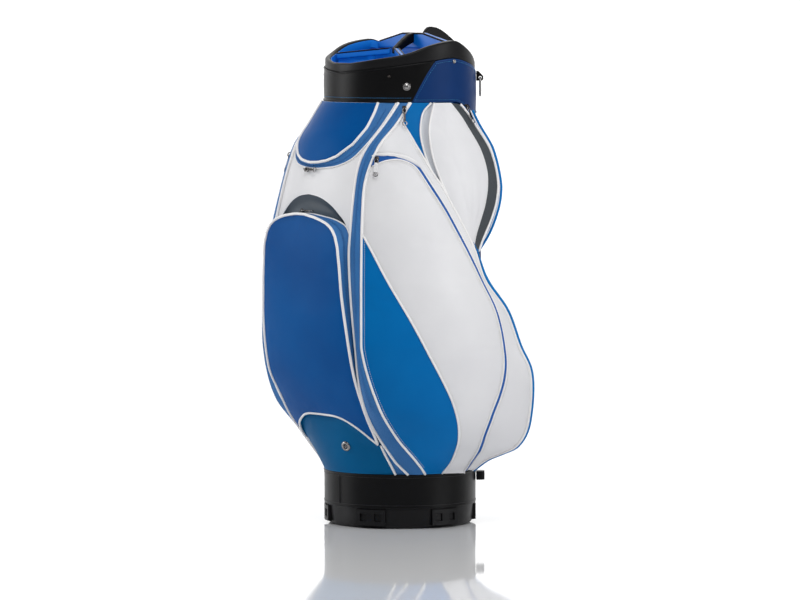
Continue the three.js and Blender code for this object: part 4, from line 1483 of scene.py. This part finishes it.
def divider_sheets():
    end = at(RIB_ANGLE, mouth_radius(RIB_ANGLE) - 5, 0) / MM
    for side, sign in (("right", 1), ("left", -1)):
        outer = (sign * end.x, end.y)
        divider_sheet(f"sheet_{side}", (sign * 3, HUB_Y - 1.5), outer, outer, 829.5,
                      [f"divider_sheet_{side}"])
    divider_sheet("sheet_cross", (-116, CROSS_Y), (116, CROSS_Y), (101, CROSS_Y), 851.5,
                  ["divider_sheet_cross"])
    divider_sheet("sheet_spine", (0, HUB_Y + 1), (0, CROSS_Y - 1.5), (0, CROSS_Y - 1.5), 839,
                  ["divider_sheet_spine"])
    divider_sheet("sheet_rear", (0, CROSS_Y + 1.5), (0, 120), (0, 95), 837.5,
                  ["divider_sheet_rear"])


collar_covers()
collar_front_edges()
collar_rear_edges()
top_rim()
mouth_lining()
dividers()
divider_sheets()

# ---- Metalwork ---------------------------------------------------------------------------------


def stand_on(angle, radius, height, tilt=0):
    """The frame of a stud on the bag: its Z axis points outwards."""
    out = at(angle, 1000, 0).normalized()
    out = (out + Vector((0, 0, math.tan(math.radians(tilt))))).normalized()
    turn = out.to_track_quat("Z", "Y").to_matrix().to_4x4()
    return Matrix.Translation(at(angle, radius, height)) @ turn


def placed(place, x, y, z):
    """A point, given in mm in the frame of a small part."""
    return place @ (Vector((x, y, z)) * MM)


def studded(mesh, profile, place, closed=False):
    """Adds a turned stud or, closed, a turned ring. Its profile is (radius, height) pairs."""
    rings = [[mesh.verts.new(placed(place, radius * math.cos(turn), radius * math.sin(turn), height))
              for turn in around(32)] for radius, height in profile]
    skin(mesh, rings, closed)


def rivets():
    kinds = [("rivet_front", 45, 803, 3.2, DARK), ("rivet_seam", 58, 785, 7, CHROME),
             ("rivet_rear", 97.7, 829, 3.5, CHROME)]
    for name, angle, height, radius, finish in kinds:
        mesh = bmesh.new()
        profile = [(radius * 0.97, 0), (radius, 0.5), (radius * 0.93, 1.1), (radius * 0.72, 1.3),
                   (radius * 0.66, 0.9), (radius * 0.6, 1.25), (radius * 0.35, 2.0), (0.3, 2.25)]
        studded(mesh, profile, stand_on(angle, COLLAR_RADIUS + 0.4, height))
        twin(piece(f"{name}_stud_right", mesh, finish, nodes=[f"{name}_right"]))


VENT = {"angle": 15.3, "height": 147, "tilt": 17}


def vent_eyelet():
    """The drain eyelet, a flanged ring with a mesh disc behind it, on the right only."""
    mesh = bmesh.new()
    profile = [(4.4, 0), (4.4, 1.4), (5.2, 2.3), (6.6, 2.6), (8.4, 1.8), (9.4, 0.8), (9.4, 0)]
    surface = lower_surface(VENT["angle"], VENT["height"])
    place = stand_on(VENT["angle"], surface + 1.4, VENT["height"], -VENT["tilt"])
    studded(mesh, profile, place, closed=True)
    for aside in (-2.2, 0, 2.2):
        tube(mesh, [placed(place, along, aside, 0.7) for along in (-4, 0, 4)], 0.45, 6)
        tube(mesh, [placed(place, aside, along, 0.7) for along in (-4, 0, 4)], 0.45, 6)
    piece("vent_eyelet_ring", mesh, CHROME, nodes=["vent_eyelet"])


SLIDER_OUTLINE = [(-6, -2.6), (-4.5, -3.9), (0, -3.6), (4, -3.9), (6, -2.2), (6, 2.2), (4, 3.9), (0, 3.6),
                  (-4.5, 3.9), (-6, 2.6)]
BAR_HEIGHT = 4.6


def slider_mesh(place):
    """A slider in its own frame: the pull towards +X, the pocket's surface at z = 0."""
    mesh = bmesh.new()
    levels = [(0.85, 0.9), (1.0, 1.3), (1.0, 2.4), (0.85, 2.9)]
    rings = [[mesh.verts.new(placed(place, x * scale, y * scale, z))
              for x, y in rounded(SLIDER_OUTLINE, 1.2, 2)] for scale, z in levels]
    skin(mesh, rings)
    arch = [(-3.6, 2.4), (-3.9, 4.6), (-2.9, 6.3), (-1, 7), (1, 7), (2.9, 6.3), (3.9, 4.6), (3.6, 2.4)]
    tube(mesh, [placed(place, x, 0, z) for x, z in arch], 1.0, 8)
    return mesh


def loop_points(place, half_x, half_y, middle):
    """An oval in the pull's plane."""
    return [placed(place, middle + half_x * math.cos(turn), half_y * math.sin(turn), BAR_HEIGHT)
            for turn in around(20)]


def pull_mesh(place):
    """The wire parts of a pull: the eye on the slider's bridge and the ring at its end."""
    mesh = bmesh.new()
    tube(mesh, loop_points(place, 4.4, 3.3, 3.8), 0.8, 8, closed=True)
    tube(mesh, loop_points(place, 3.9, 3.9, 27.6), 0.95, 8, closed=True)
    return mesh


TAB_THICKNESS = 2


def pull_tab(place, half_width):
    """The grip between the pull's eye and its end ring, waisted and rounded."""
    mesh = bmesh.new()
    stations = [(6.6, 0.5), (8, 0.8), (11, 1), (15, 0.88), (19, 0.96), (22.5, 0.8), (24.2, 0.5)]
    rings = []
    for x, share in stations:
        corners = [(y * half_width * share, z * TAB_THICKNESS / 2)
                   for y, z in ((-1, -1), (1, -1), (1, 1), (-1, 1))]
        rings.append([mesh.verts.new(placed(place, x, y, BAR_HEIGHT + z))
                      for y, z in rounded(corners, 0.6)])
    skin(mesh, rings)
    return mesh


def zip_frame(point, towards, normal):
    z = normal.normalized()
    x = (towards - z * towards.dot(z)).normalized()
    y = z.cross(x)
    turn = Matrix((x, y, z)).transposed().to_4x4()
    return Matrix.Translation(point * MM) @ turn


def hanging_frame(surface, angle, height, run):
    """A zip on a sloping surface, with its pull hanging down it."""
    top, foot = (at(angle, surface(angle, level), level) / MM for level in (height, height - run))
    down = (foot - top).normalized()
    aside = Vector((math.cos(math.radians(angle)), math.sin(math.radians(angle)), 0))
    normal = down.cross(aside)
    return zip_frame(top + normal, down, normal)


def add_zip(name, place, tab_finish, half_width, both):
    """A slider and its pull, each riding on its own body."""
    suffix = "_right" if both else ""
    parts = [
        (f"{name}_slider_metal{suffix}", slider_mesh(place), DARK, "slider", True),
        (f"{name}_pull_rings{suffix}", pull_mesh(place), CHROME, "pull", True),
        (f"{name}_pull_tab{suffix}", pull_tab(place, half_width), tab_finish, "pull", False),
    ]
    for piece_name, mesh, finish, part, stands in parts:
        stem = f"{name}{suffix}"
        nodes = [f"{stem}_zip_{part}"] if stands else ()
        made = piece(piece_name, mesh, finish, body=f"{stem}_{part}", nodes=nodes, sharp=50)
        if both:
            twin(made)


def zips():
    right = Vector((1, 0, 0))
    ball = zip_frame(Vector((-10, -210, 561.2)), right, Vector((0, 0, 1)))
    add_zip("ball_pocket", ball, DARK, 1.9, False)
    accessory = zip_frame(Vector((-18, -bib_middle(637) - 1.2, 637)), right, Vector((0, -1, 0.27)))
    add_zip("accessory_pocket", accessory, DARK, 1.9, False)
    add_zip("side_pocket", hanging_frame(side_surface, 41, 658, 40), WHITE, 3.6, True)
    add_zip("upper", hanging_frame(side_surface, 56, 745, 45), DARK, 1.9, True)
    add_zip("leaf_pocket", hanging_frame(by_height(leaf_rear_radius), 109, 746, 60), DARK, 1.9, True)


STRAP_ANGLE = 143
RING = {"half": 13.2, "drop": 19, "distance": 143.5, "height": 798, "wire": 1.8}


def strap_fittings():
    """A D-shaped ring of wire that hangs from a fold of leather, and the tab low on the back."""
    half, drop = RING["half"], RING["drop"]
    turn = Matrix.Rotation(math.radians(STRAP_ANGLE), 4, "Z")
    bends = [math.pi * k / 12 for k in range(1, 12)]
    outline = [(-half, 0), (-half, -drop / 2), (-half, -drop)]
    outline += [(-half * math.cos(bend), -drop - half * math.sin(bend)) for bend in bends]
    outline += [(half, -drop), (half, -drop / 2), (half, 0), (half * 0.5, 0), (0, 0), (-half * 0.5, 0)]
    points = [turn @ (Vector((x, -RING["distance"], RING["height"] + z)) * MM) for x, z in outline]
    mesh = bmesh.new()
    tube(mesh, points, RING["wire"], 12, closed=True)
    piece("strap_ring_wire", mesh, CHROME, body="strap_ring", nodes=["strap_ring"])
    softened("strap_ring_fold", "strap_ring_tab", BLACK, 0.9, rounds=3)
    softened("strap_tab_leather", "strap_tab_lower", BLACK, 1.0)


rivets()
vent_eyelet()
zips()
strap_fittings()

# ---- What shows of the frame itself --------------------------------------------------------------


def paint_frame(names, finish):
    for name in names:
        materials = frame["nodes"][name].data.materials
        materials.clear()
        materials.append(finish[0])


paint_frame(("hull_front", "hull_right", "hull_back", "hull_left"), LINING)
paint_frame(("stay_right", "stay_left"), STEEL)

FLOOR_SIZE = 260
FLOOR_DROP = 0.0005


def make_floor():
    finish = Finish("floor")
    shade, light = srgb(244, 245, 246), srgb(248, 248, 249)
    finish.set(Base_Color=finish.ramp(finish.noise(2), [(0.3, shade), (0.7, light)]))
    finish.set(Roughness=0.05)
    mesh = bmesh.new()
    bmesh.ops.create_grid(mesh, x_segments=4, y_segments=4, size=FLOOR_SIZE / 2)
    data = mesh_data("floor", mesh)
    data.materials.append(finish.material)
    floor = add_object("floor", data)
    floor.location.z = -FLOOR_DROP


make_floor()
